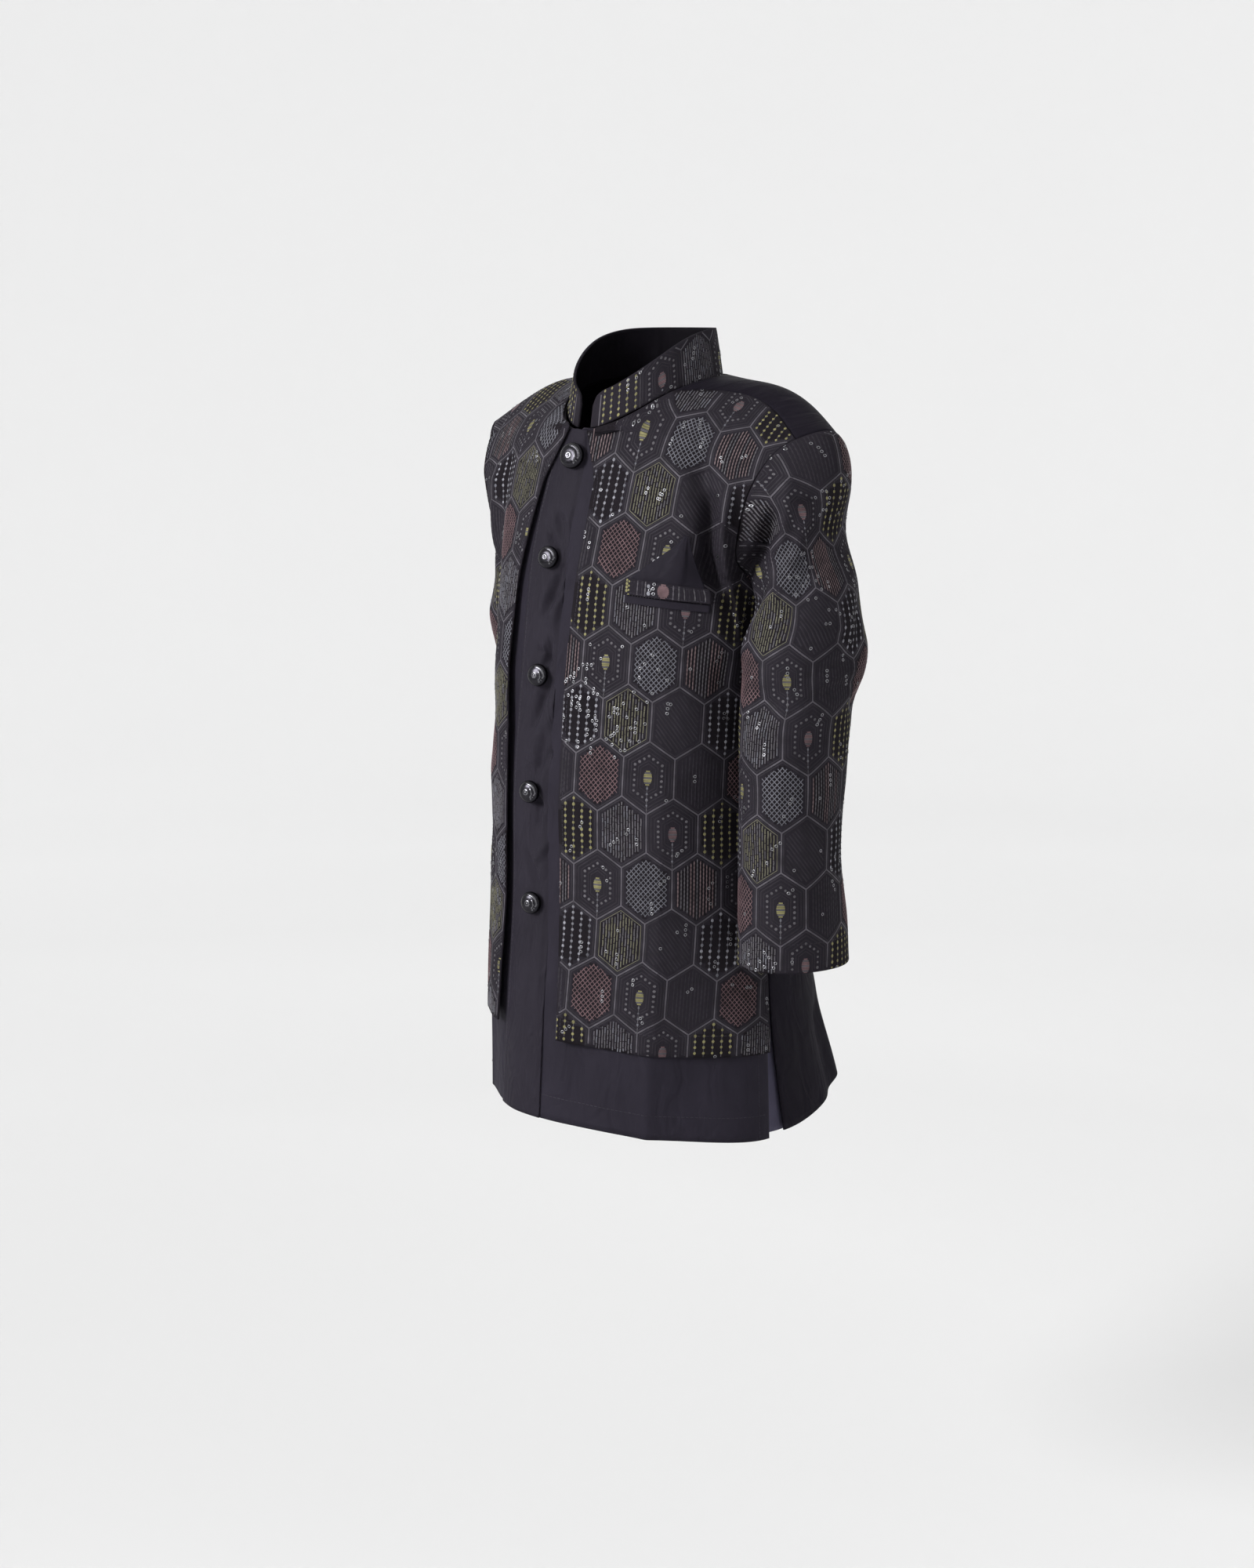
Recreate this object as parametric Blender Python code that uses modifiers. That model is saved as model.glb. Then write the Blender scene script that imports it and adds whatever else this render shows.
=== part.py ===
"""A child's sherwani: plain kurta fronts under embroidered jacket fronts, one plain back,
set-in sleeves, stand collar, buttoned placket, chest pocket and side slits.

Metres, +Z up. The origin is the centre of the neck opening, level with the sides of the neck.
The front faces -Y and the wearer's left is +X. Each panel of cloth is an open surface worked
out from the tables below, given its thickness by Solidify.
"""
import math

import bpy
from mathutils import Matrix, Vector

# Cloth and seams
KURTA_CLOTH = 0.0012
JACKET_CLOTH = 0.0016
BACK_CLOTH = 0.0016
SLEEVE_CLOTH = 0.0016
COLLAR_CLOTH = 0.0022
SEAM_GAP = 0.0003
# Half the gap between two panels at a seam, before the cloth's own thickness rounds it
SEAM_HALF = SEAM_GAP * 0.7
# How far the panels stop short of the shoulder seam, in rows
SEAM_SHORT = 0.014
NECK_SHORT = 0.0006
KURTA_NECK_SHORT = 0.0012
JACKET_LIFT = 0.0023

# Neck opening
NECK_HALF_WIDTH = 0.058
NECK_HALF_DEPTH = 0.062
NECK_FRONT_DROP = 0.034
NECK_BACK_RISE = 0.004
GARMENT_TURN = math.radians(9.5)

# The form is a half body of rows that run from the centre line or neckline to the side seam
# or armhole. Row 0 is the front hem, row 10 the top of the shoulder and row 20 the back hem.
FRONT_NECK_ROW = 8
BACK_NECK_ROW = 12
FRONT_PIT_ROW = 5
BACK_PIT_ROW = 15
LAST_ROW = 20

# Centre front, from the hem to the neck: x, y, z
CENTRE_FRONT = (
    (-0.0200, -0.1193, -0.5475),
    (-0.0190, -0.1105, -0.4650),
    (-0.0175, -0.1020, -0.3850),
    (-0.0170, -0.1016, -0.3000),
    (-0.0157, -0.0937, -0.2130),
    (-0.0145, -0.0865, -0.1500),
    (-0.0135, -0.0800, -0.1130),
    (-0.0120, -0.0690, -0.0720),
    (-0.0102, -0.0612, -0.0340),
)
# Degrees round the neckline from the centre front, rows 8 to 12
NECK_ANGLES = (0.0, 42.0, 92.0, 138.0, 180.0)
# Centre back, from the neck to the hem: x, y, z
CENTRE_BACK = (
    (0.0100, 0.0612, 0.0040),
    (0.0080, 0.0820, -0.0450),
    (0.0050, 0.0930, -0.0900),
    (0.0020, 0.0960, -0.1400),
    (0.0000, 0.0900, -0.2130),
    (0.0000, 0.0850, -0.3000),
    (0.0000, 0.0930, -0.3850),
    (0.0000, 0.1120, -0.4650),
    (0.0000, 0.1330, -0.5300),
)
# The line where the front or back turns to the side, over the shoulder, rows 0 to 20: x, y, z
TURN = (
    (0.0790, -0.0900, -0.5475),
    (0.0815, -0.0870, -0.4650),
    (0.0830, -0.0810, -0.3850),
    (0.0840, -0.0780, -0.3000),
    (0.0840, -0.0730, -0.2130),
    (0.0850, -0.0670, -0.1500),
    (0.0850, -0.0620, -0.1120),
    (0.0830, -0.0560, -0.0730),
    (0.0820, -0.0450, -0.0430),
    (0.0950, -0.0160, -0.0190),
    (0.1090, 0.0200, -0.0050),
    (0.1020, 0.0500, -0.0130),
    (0.0870, 0.0700, -0.0330),
    (0.0790, 0.0800, -0.0720),
    (0.0780, 0.0880, -0.1060),
    (0.0800, 0.0860, -0.1480),
    (0.0800, 0.0780, -0.2130),
    (0.0810, 0.0730, -0.3000),
    (0.0850, 0.0800, -0.3850),
    (0.0920, 0.0960, -0.4650),
    (0.0990, 0.1160, -0.5320),
)
# Side seam of the front, from the hem to the armpit: x, y, z
SIDE_FRONT = (
    (0.1330, -0.0110, -0.5475),
    (0.1270, -0.0070, -0.4650),
    (0.1205, -0.0030, -0.3850),
    (0.1170, 0.0010, -0.3000),
    (0.1175, 0.0050, -0.2130),
    (0.1210, 0.0080, -0.1500),
)
# Armhole, from the armpit up the front, over the shoulder and down the back: x, y, z
ARMHOLE = (
    (0.1210, 0.0080, -0.1500),
    (0.1170, -0.0330, -0.1300),
    (0.1230, -0.0380, -0.0980),
    (0.1330, -0.0340, -0.0680),
    (0.1480, -0.0200, -0.0440),
    (0.1640, 0.0080, -0.0340),
    (0.1570, 0.0360, -0.0450),
    (0.1440, 0.0480, -0.0660),
    (0.1320, 0.0490, -0.0950),
    (0.1235, 0.0330, -0.1280),
    (0.1210, 0.0080, -0.1500),
)
# How much further in the right armhole lies over the shoulder, rows 8 to 12
RIGHT_SHOULDER_IN = (0.0, 0.0095, 0.0070, 0.0030, 0.0)
# Side seam of the back, from the armpit to the hem: x, y, z
SIDE_BACK = (
    (0.1210, 0.0080, -0.1500),
    (0.1175, 0.0050, -0.2130),
    (0.1170, 0.0010, -0.3000),
    (0.1205, -0.0030, -0.3850),
    (0.1260, -0.0030, -0.4650),
    (0.1270, 0.0120, -0.5475),
)
# How sharply the pressed turn shows, rows 0 to 20
PRESSED = (0.90, 0.70, 0.45, 0.20, 0.05, 0, 0, 0, 0, 0, 0, 0, 0, 0, 0, 0, 0, 0, 0.10, 0.20, 0.30)
# The hem hangs lower on the wearer's left, by this much for each metre across, at full depth
HEM_TILT = 0.10
TILT_TOP = -0.15
TILT_BOTTOM = -0.55
# Step in rows and in u over which the form's normal is taken
NORMAL_STEP = 0.01


def blend(a, b, weight):
    return a + (b - a) * weight


def smooth_step(value, low, high):
    t = min(1.0, max(0.0, (value - low) / (high - low)))
    return t * t * (3.0 - 2.0 * t)


def hermite(p0, p1, t0, t1, u):
    """Cubic from p0 to p1 with end tangents t0 and t1."""
    u2 = u * u
    u3 = u2 * u
    return p0 * (2 * u3 - 3 * u2 + 1) + p1 * (3 * u2 - 2 * u3) + t0 * (u3 - 2 * u2 + u) + t1 * (u3 - u2)


def along(points, t):
    """Smooth curve through the points, where t counts points from 0."""
    last = len(points) - 1
    i = min(last - 1, max(0, int(math.floor(t))))
    u = t - i
    p0 = points[i]
    p1 = points[i + 1]
    t0 = (p1 - points[i - 1]) * 0.5 if i > 0 else p1 - p0
    t1 = (points[i + 2] - p0) * 0.5 if i + 2 <= last else p1 - p0
    return hermite(p0, p1, t0, t1, u)


def vectors(table):
    return [Vector(row) for row in table]


CENTRE_FRONT_POINTS = vectors(CENTRE_FRONT)
CENTRE_BACK_POINTS = vectors(CENTRE_BACK)
TURN_POINTS = vectors(TURN)
SIDE_FRONT_POINTS = vectors(SIDE_FRONT)
ARMHOLE_POINTS = vectors(ARMHOLE)
SIDE_BACK_POINTS = vectors(SIDE_BACK)


def neck_point(angle):
    """Point of the neckline at an angle from the centre front, positive to the wearer's left."""
    turned = angle - GARMENT_TURN
    low = ((1.0 + math.cos(angle)) / 2.0) ** 3
    height = blend(NECK_BACK_RISE, -NECK_FRONT_DROP, low)
    return Vector((NECK_HALF_WIDTH * math.sin(turned), -NECK_HALF_DEPTH * math.cos(turned), height))


def centre_point(row, side):
    if row <= FRONT_NECK_ROW:
        return along(CENTRE_FRONT_POINTS, row)
    if row >= BACK_NECK_ROW:
        return along(CENTRE_BACK_POINTS, row - BACK_NECK_ROW)
    i = int(row - FRONT_NECK_ROW)
    degrees = blend(NECK_ANGLES[i], NECK_ANGLES[i + 1], row - FRONT_NECK_ROW - i)
    return neck_point(side * math.radians(degrees))


def turn_point(row, side):
    p = along(TURN_POINTS, row)
    return Vector((side * p.x, p.y, p.z))


def side_point(row, side):
    if row <= FRONT_PIT_ROW:
        p = along(SIDE_FRONT_POINTS, row)
    elif row >= BACK_PIT_ROW:
        p = along(SIDE_BACK_POINTS, row - BACK_PIT_ROW)
    else:
        p = along(ARMHOLE_POINTS, row - FRONT_PIT_ROW)
        if side < 0 and FRONT_NECK_ROW < row < BACK_NECK_ROW:
            p.x -= row_value(RIGHT_SHOULDER_IN, row - FRONT_NECK_ROW)
    return Vector((side * p.x, p.y, p.z))


def row_value(values, row):
    i = min(len(values) - 2, int(row))
    return blend(values[i], values[i + 1], row - i)


def form_point(row, u, side):
    """Point of the worn form: u runs from the centre line or neck, 0, to the side, 1."""
    centre = centre_point(row, side)
    turn = turn_point(row, side)
    seam = side_point(row, side)
    inner = (turn - centre).length
    outer = (seam - turn).length
    chord = (seam - centre).normalized()
    pressed = row_value(PRESSED, row)
    into_turn = blend(chord * inner, turn - centre, pressed)
    out_of_turn = blend(chord * outer, seam - turn, pressed)
    on_neck = smooth_step(row, FRONT_NECK_ROW, FRONT_NECK_ROW + 1)
    on_neck *= 1.0 - smooth_step(row, BACK_NECK_ROW - 1, BACK_NECK_ROW)
    level = Vector((side * inner, 0.0, 0.0))
    start = blend(level, (turn - centre) * 1.5 - into_turn * 0.5, on_neck)
    on_armhole = smooth_step(row, FRONT_PIT_ROW, FRONT_PIT_ROW + 2)
    on_armhole *= 1.0 - smooth_step(row, BACK_PIT_ROW - 2, BACK_PIT_ROW)
    backward = 1.0 if row < (FRONT_PIT_ROW + BACK_PIT_ROW) / 2 else -1.0
    round_side = Vector((0.0, backward * outer, 0.0))
    end = blend(round_side, (seam - turn) * 1.5 - out_of_turn * 0.5, on_armhole)
    if u < 0.5:
        p = hermite(centre, turn, start, into_turn, u * 2.0)
    else:
        p = hermite(turn, seam, out_of_turn, end, u * 2.0 - 1.0)
    hang = min(1.0, max(0.0, (TILT_TOP - p.z) / (TILT_TOP - TILT_BOTTOM)))
    p.z -= HEM_TILT * hang * p.x
    return p


def form_normal(row, u, side):
    """Outward normal of the worn form."""
    step = NORMAL_STEP
    u0 = max(0.0, u - step)
    u1 = min(1.0, u + step)
    row0 = max(0.0, row - step)
    row1 = min(float(LAST_ROW), row + step)
    across = form_point(row, u1, side) - form_point(row, u0, side)
    up = form_point(row1, u, side) - form_point(row0, u, side)
    return across.cross(up).normalized() * side


def fold_height(point, side, folds):
    """Sum of the soft folds near a point."""
    total = 0.0
    for only, start, end, width, height in folds:
        if only not in (0, side):
            continue
        a = Vector((side * start[0], start[1], start[2]))
        b = Vector((side * end[0], end[1], end[2]))
        run = b - a
        share = min(1.0, max(0.0, (point - a).dot(run) / run.dot(run)))
        away = (point - a - run * share).length
        if away < FOLD_REACH * width:
            total += height * math.exp(-((away / width) ** 2))
    return total


def on_form(row, u, side, lift=0.0):
    p = form_point(row, u, side)
    return p + form_normal(row, u, side) * (lift + fold_height(p, side, BODY_FOLDS))


# Grid lines shared by every panel, so that layers lie parallel
ROWS_BELOW_PIT = (0.0, 0.38, 0.76, 1.15, 1.6, 2.0, 2.5, 3.0, 3.5, 4.0, 4.5, 5.0)
ROWS_TO_NECK = (5.4, 5.8, 6.2, 6.6, 7.0, 7.4, 7.7, 8.0)
ROWS_TO_SHOULDER = (8.2, 8.5, 8.9, 9.35, 9.7, 10.0)
JACKET_HEM_ROW = 0.76
SHOULDER_ROW = 10.0
PANEL_COLUMNS = 14
# Under 1 sets the columns closer together at the side seam
CLOSER_AT_SIDE = 0.85
PANEL_SHARES = [(j / (PANEL_COLUMNS - 1)) ** CLOSER_AT_SIDE for j in range(PANEL_COLUMNS)]
# Columns of the kurta that lie in the jacket's opening, and their least width, as a share
UNDER_COLUMNS = 3
LEAST_UNDER = 0.001
# Row of the shoulder seam at the neck and at the armhole; under 10 is forward of the shoulder
SHOULDER_SEAM = {1: (9.6, 9.3), -1: (10.8, 10.2)}
# Opening edge of the jacket, measured along the cloth from the centre front, rows 0 to 8
OPENING = {
    1: (0.032, 0.030, 0.0255, 0.0245, 0.023, 0.0245, 0.0255, 0.024, 0.009),
    -1: (0.030, 0.030, 0.031, 0.031, 0.037, 0.035, 0.0315, 0.026, 0.009),
}
# How far the free front edge of the jacket stands off the kurta, rows 0 to 8
EDGE_STAND_OFF = (0.0060, 0.0055, 0.0050, 0.0045, 0.0040, 0.0035, 0.0030, 0.0025, 0.0022)
EDGE_ROLL = 0.030
# Edges of the placket along the cloth from the centre line, rows 0 to 8
PLACKET_TO_RIGHT = (0.0275, 0.0280, 0.0300, 0.0285, 0.0270, 0.0270, 0.0280, 0.0255, 0.0200)
PLACKET_TO_LEFT = (0.0170, 0.0140, 0.0115, 0.0105, 0.0105, 0.0105, 0.0105, 0.0105, 0.0100)
PLACKET_COLUMNS = 6

# Soft folds, as ridges (height over 0) or troughs along a straight run on the form, each end
# x, y, z, then width and height. Side 1 is the wearer's left, -1 the right and 0 both
BODY_FOLDS = (
    (0, (0.0970, -0.0490, -0.0610), (0.1015, -0.0535, -0.1330), 0.0115, -0.0045),
    (0, (0.1125, -0.0440, -0.0780), (0.1115, -0.0420, -0.1320), 0.0100, 0.0035),
    (0, (0.1080, -0.0460, -0.1600), (0.1120, -0.0380, -0.1950), 0.0130, 0.0035),
    (0, (0.1000, 0.0700, -0.1150), (0.0950, 0.0780, -0.1900), 0.0130, -0.0040),
    (0, (0.1000, 0.0780, -0.4900), (0.1020, 0.0950, -0.5700), 0.0140, -0.0085),
    (0, (0.0450, 0.1050, -0.4600), (0.0480, 0.1300, -0.5600), 0.0200, -0.0060),
)
SLEEVE_FOLDS = (
    (0, (0.1900, 0.0380, -0.1020), (0.2020, -0.0150, -0.1120), 0.0270, -0.0130),
    (0, (0.1650, -0.0600, -0.0850), (0.1350, -0.0450, -0.1500), 0.0130, -0.0060),
    (0, (0.1800, -0.0550, -0.0900), (0.1300, -0.0550, -0.1850), 0.0120, 0.0050),
    (0, (0.2000, 0.0250, -0.2250), (0.1650, -0.0680, -0.2250), 0.0110, -0.0045),
    (0, (0.2050, 0.0000, -0.1950), (0.1900, -0.0500, -0.1800), 0.0180, 0.0025),
)
# A fold is left out further from its run than this many of its widths
FOLD_REACH = 3.0

# Sleeve rings down the arm: x, y, z of the axis, half widths across and fore-and-aft
SLEEVE_RINGS = (
    (0.1615, -0.0080, -0.1700, 0.0375, 0.0460),
    (0.1630, -0.0110, -0.1900, 0.0395, 0.0520),
    (0.1625, -0.0150, -0.2150, 0.0390, 0.0490),
    (0.1615, -0.0205, -0.2400, 0.0375, 0.0455),
    (0.1610, -0.0235, -0.2870, 0.0360, 0.0420),
    (0.1620, -0.0265, -0.3430, 0.0355, 0.0410),
    (0.1640, -0.0250, -0.3930, 0.0370, 0.0450),
    (0.1650, -0.0250, -0.4170, 0.0375, 0.0465),
)
# The right arm hangs further back, by this much below the elbow, and its cap sets off backward
RIGHT_ARM_BACK = 0.088
ARM_BACK_FROM = -0.06
ARM_BACK_TO = 0.26
RIGHT_ARM_TURN = 0.6
CAP_FULLNESS = {1: 0.050, -1: 0.040}
CAP_BULGE = 1.6
CAP_DROP = 0.11
SLEEVE_SEAM_GAP = 0.0009
# Axis that the sleeve's folds push away from
ARM_AXIS_X = 0.162
ARM_AXIS_Y = -0.015
# Cap and arm: -1 is the armhole, 0 the first ring and 7 the cuff
CAP_STATIONS = (-1.0, -0.85, -0.7, -0.55, -0.4, -0.25, -0.12, 0.0)
ARM_STEP = 0.5
ARM_STEPS = 14
# Where on the form, near the armhole, the way out of it is measured
NEAR_ARMHOLE = 0.93
AT_ARMHOLE = 0.999

COLLAR_GAP_ANGLE = math.radians(8.0)
COLLAR_END_HEIGHT = 0.026
COLLAR_BACK_HEIGHT = 0.034
COLLAR_LEAN = 0.16
COLLAR_CORNER = 0.012
COLLAR_OVER_SEAM = 0.0010
COLLAR_OVER_SHOULDER = 0.0018
COLLAR_INSIDE_SEAM = 0.0012
COLLAR_LINES = 44
COLLAR_HEIGHTS = (0.0, 0.35, 0.7, 1.0)
# Share of the spacing of its lines that draws them together at the ends
COLLAR_CLOSER = 0.35
# Distance from an end over which the collar reaches its full height
COLLAR_RISE_RUN = 0.12
COLLAR_CORNER_DEPTH = 0.8

# Chest pocket on the left jacket front: heights of its mouth's two ends, distance along the
# cloth from the centre line to the inner end, and width
POCKET_ROW = 5.2
POCKET_TOP_INNER = -0.1395
POCKET_TOP_OUTER = -0.1455
POCKET_FROM_CENTRE = 0.0675
POCKET_WIDTH = 0.0580
# Gap under the pocket's first layer, and the rows between which its heights are looked up
POCKET_LIFT = 0.0011
POCKET_ROW_LOW = 3.0
POCKET_ROW_HIGH = 7.5
POCKET_HALVINGS = 30
WELT_HEIGHT = 0.0112
WELT_CLOTH = 0.0014
BAND_HEIGHT = 0.0056
BAND_CLOTH = 0.0012
STRIP_COLUMNS = 9
# Folded square: its peak over the mouth, its foot in the pocket, and its two ends across the
# pocket at the foot and at the peak
SQUARE_CLOTH = 0.0010
SQUARE_PEAK = 0.0365
SQUARE_TUCK = 0.0050
SQUARE_FOOT_ACROSS = (0.04, 0.96)
SQUARE_PEAK_ACROSS = (0.76, 0.84)
SQUARE_OUTER_CURVE = 1.6
SQUARE_ROWS = 7
SQUARE_COLUMNS = 7

# Underlap of the side slits, on the inner face of the back: how far it lies under the back and
# reaches out of it, its depth under the worn form and the radius that it bends forward with
SLIT_FACING_ROWS = (18.6, 18.9, 19.2, 19.5, 19.8)
SLIT_FACING_CLOTH = 0.0010
SLIT_FACING_UNDER = 0.008
SLIT_FACING_OUT = 0.012
SLIT_FACING_LIFT = -0.0018
SLIT_FACING_BEND = 0.050

# Buttons down the placket: row, distance from the centre line to the wearer's right, radius
BUTTONS = (
    (7.47, 0.0005, 0.0098),
    (5.55, 0.0052, 0.0085),
    (3.97, 0.0047, 0.0085),
    (2.97, 0.0052, 0.0085),
    (1.97, 0.0034, 0.0085),
)
# Half outline of a button from the top of its dome to its shank: shares of radius and of height
BUTTON_PROFILE = (
    (0.00, 1.00), (0.45, 0.96), (0.78, 0.82), (0.94, 0.62), (1.00, 0.44), (0.96, 0.30),
    (0.62, 0.22), (0.40, 0.18), (0.36, 0.00), (0.00, 0.00),
)
BUTTON_HEIGHT = 0.0075
BUTTON_SIDES = 16
BUTTON_LIFT = KURTA_CLOTH + 2.0 * SEAM_GAP + 0.0008
BUTTON_TURN = math.radians(14.0)
MERGE_DISTANCE = 0.00005


def distance_table(row, side, steps=40):
    """Distances along a row from its centre, with the u that each is reached at."""
    marks = [(0.0, 0.0)]
    before = form_point(row, 0.0, side)
    total = 0.0
    for i in range(1, steps + 1):
        u = i / steps
        here = form_point(row, u, side)
        total += (here - before).length
        marks.append((total, u))
        before = here
    return marks


def u_at(row, side, distance):
    """The u that lies this far along the cloth from the centre line."""
    marks = distance_table(row, side)
    for (d0, u0), (d1, u1) in zip(marks, marks[1:]):
        if distance <= d1:
            return blend(u0, u1, (distance - d0) / (d1 - d0))
    return 1.0


def u_before_seam(row, side):
    """The u that stops half a seam gap short of the side seam."""
    marks = distance_table(row, side)
    return 1.0 - SEAM_HALF / marks[-1][0]


def opening_u(row, side):
    if row > FRONT_NECK_ROW:
        left = 1.0 - smooth_step(row, FRONT_NECK_ROW, FRONT_NECK_ROW + 0.4)
        if left <= 0.0:
            return u_at(row, side, NECK_SHORT)
        return u_at(row, side, NECK_SHORT + OPENING[side][-1] * left)
    return u_at(row, side, row_value(OPENING[side], row))


def jacket_lift(row, u, side):
    """Height of the jacket's outer face over the kurta's."""
    if row > FRONT_NECK_ROW + 1:
        return JACKET_LIFT
    edge = opening_u(row, side)
    away = (form_point(row, u, side) - form_point(row, edge, side)).length
    stand = EDGE_STAND_OFF[-1] if row >= FRONT_NECK_ROW else row_value(EDGE_STAND_OFF, row)
    stand *= 1.0 - smooth_step(row, FRONT_NECK_ROW, FRONT_NECK_ROW + 1)
    return JACKET_LIFT + stand * math.exp(-((away / EDGE_ROLL) ** 2))


def seam_row(side, u):
    neck_end, arm_end = SHOULDER_SEAM[side]
    return blend(neck_end, arm_end, u)


def front_row(row, u, side):
    """Grid row of a front, drawn towards the shoulder seam above the neck."""
    if row <= FRONT_NECK_ROW:
        return row
    share = (row - FRONT_NECK_ROW) / (SHOULDER_ROW - FRONT_NECK_ROW)
    return blend(FRONT_NECK_ROW, seam_row(side, u) - SEAM_SHORT, share)


def back_row(row, u, side):
    """Grid row of the back, drawn towards the shoulder seam beside the neck."""
    if row >= BACK_NECK_ROW:
        return row
    share = (BACK_NECK_ROW - row) / (BACK_NECK_ROW - SHOULDER_ROW)
    return blend(BACK_NECK_ROW, seam_row(side, u) + SEAM_SHORT, share)


# Colours of the plain cloth, the embroidered cloth, the slit facings and the buttons
PLAIN = (0.036, 0.033, 0.042)
WORKED = (0.07, 0.06, 0.075)
LILAC = (0.45, 0.44, 0.55)
METAL = (0.10, 0.10, 0.11)

FRONT_ROWS = ROWS_BELOW_PIT + ROWS_TO_NECK + ROWS_TO_SHOULDER
BACK_ROWS = tuple(20.0 - row for row in reversed(FRONT_ROWS))


def new_material(name, colour, roughness, metallic=0.0):
    material = bpy.data.materials.new(name)
    material.use_nodes = True
    shader = material.node_tree.nodes["Principled BSDF"]
    shader.inputs["Base Color"].default_value = (*colour, 1.0)
    shader.inputs["Roughness"].default_value = roughness
    shader.inputs["Metallic"].default_value = metallic
    return material


def new_object(name, points, faces, collection, material, cloth=0.0):
    mesh = bpy.data.meshes.new(name)
    mesh.from_pydata([tuple(p) for p in points], [], faces)
    mesh.update()
    obj = bpy.data.objects.new(name, mesh)
    collection.objects.link(obj)
    obj.data.materials.append(material)
    if cloth:
        wall = obj.modifiers.new("cloth", "SOLIDIFY")
        wall.thickness = cloth
        wall.offset = -1.0
        wall.use_quality_normals = True
    return obj


def grid_faces(rows, columns, flip=False, closed=False, start=0):
    """Faces of a grid of points, row by row; closed joins the last column to the first."""
    faces = []
    for r in range(rows - 1):
        for c in range(columns if closed else columns - 1):
            a = start + r * columns + c
            b = start + r * columns + (c + 1) % columns
            quad = (a, b, b + columns, a + columns)
            faces.append(tuple(reversed(quad)) if flip else quad)
    return faces


def kurta_front(name, side, collection, material):
    points = []
    for base_row in FRONT_ROWS:
        row0 = front_row(base_row, 0.0, side)
        edge = opening_u(row0, side)
        first = u_at(row0, side, SEAM_HALF)
        if base_row > FRONT_NECK_ROW:
            first = u_at(row0, side, KURTA_NECK_SHORT)
            edge = max(edge, first + LEAST_UNDER)
        us = [blend(first, edge, i / UNDER_COLUMNS) for i in range(UNDER_COLUMNS)]
        last = u_before_seam(row0, side)
        us += [blend(edge, last, share) for share in PANEL_SHARES]
        for u in us:
            points.append(on_form(front_row(base_row, u, side), u, side))
    faces = grid_faces(len(FRONT_ROWS), PANEL_COLUMNS + UNDER_COLUMNS, flip=side < 0)
    return new_object(name, points, faces, collection, material, KURTA_CLOTH)


def jacket_front(name, side, collection, material):
    rows = [row for row in FRONT_ROWS if row >= JACKET_HEM_ROW]
    points = []
    for base_row in rows:
        row0 = front_row(base_row, 0.0, side)
        edge = opening_u(row0, side)
        last = u_before_seam(row0, side)
        for share in PANEL_SHARES:
            u = blend(edge, last, share)
            row = front_row(base_row, u, side)
            points.append(on_form(row, u, side, jacket_lift(row, u, side)))
    faces = grid_faces(len(rows), PANEL_COLUMNS, flip=side < 0)
    return new_object(name, points, faces, collection, material, JACKET_CLOTH)


def back(name, collection, material):
    points = []
    halves = {}
    for side in (1, -1):
        for r, base_row in enumerate(BACK_ROWS):
            row0 = back_row(base_row, 0.0, side)
            last = u_before_seam(row0, side)
            for j, share in enumerate(PANEL_SHARES):
                if j == 0 and side < 0 and base_row >= BACK_NECK_ROW:
                    halves[side, r, j] = halves[1, r, j]
                    continue
                first = 0.0 if base_row >= BACK_NECK_ROW else u_at(row0, side, SEAM_GAP)
                u = blend(first, last, share)
                row = back_row(base_row, u, side)
                halves[side, r, j] = len(points)
                points.append(on_form(row, u, side, JACKET_LIFT))
    faces = []
    for side in (1, -1):
        for r in range(len(BACK_ROWS) - 1):
            for j in range(PANEL_COLUMNS - 1):
                quad = [halves[side, r, j], halves[side, r, j + 1]]
                quad += [halves[side, r + 1, j + 1], halves[side, r + 1, j]]
                faces.append(quad if side > 0 else quad[::-1])
    return new_object(name, points, faces, collection, material, BACK_CLOTH)


def arm_ring(side, t):
    x, y, z, across, fore = along([Vector(row) for row in SLEEVE_RINGS], t)
    if side < 0:
        y += RIGHT_ARM_BACK * smooth_step(-z, ARM_BACK_FROM, ARM_BACK_TO)
    return Vector((side * x, y, z)), across, fore


def ring_point(side, t, share):
    """Point of a sleeve ring; share runs from the body, round the front, back to the body."""
    centre, across, fore = arm_ring(side, t)
    angle = 2.0 * math.pi * share
    return centre + Vector((-side * across * math.cos(angle), -fore * math.sin(angle), 0.0))


def armhole_lines(side):
    """Rows of the armhole where the panels have their points, each with its share of the loop."""
    rows = [front_row(r, 1.0, side) for r in FRONT_ROWS if r >= FRONT_PIT_ROW]
    rows += [back_row(r, 1.0, side) for r in BACK_ROWS if SHOULDER_ROW < r < BACK_PIT_ROW]
    points = [side_point(r, side) for r in rows]
    total = 0.0
    shares = [0.0]
    for a, b in zip(points, points[1:] + points[:1]):
        total += (b - a).length
        shares.append(total)
    return [(row, share / total) for row, share in zip(rows, shares)]


def sleeve_start(row, share, side):
    """Where the sleeve leaves the armhole, and the way that it sets off."""
    seam = side_point(row, side)
    near = form_point(row, NEAR_ARMHOLE, side)
    outward = (form_point(row, 1.0, side) - near).normalized()
    clear = outward * SLEEVE_SEAM_GAP
    if side < 0:
        outward = (outward + Vector((0.0, RIGHT_ARM_TURN, 0.0))).normalized()
    top = math.sin(math.pi * share)
    down = Vector((side * 0.10, 0.0, -1.0)).normalized()
    way = blend(down, outward, smooth_step(top, 0.15, 0.6)).normalized()
    normal = form_normal(row, AT_ARMHOLE, side)
    side_normal = Vector((side, 0.0, 0.0))
    lift = blend(side_normal, normal, smooth_step(top, 0.1, 0.5)).normalized()
    return seam + lift * (JACKET_LIFT + SEAM_GAP) + clear, way, top


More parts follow.
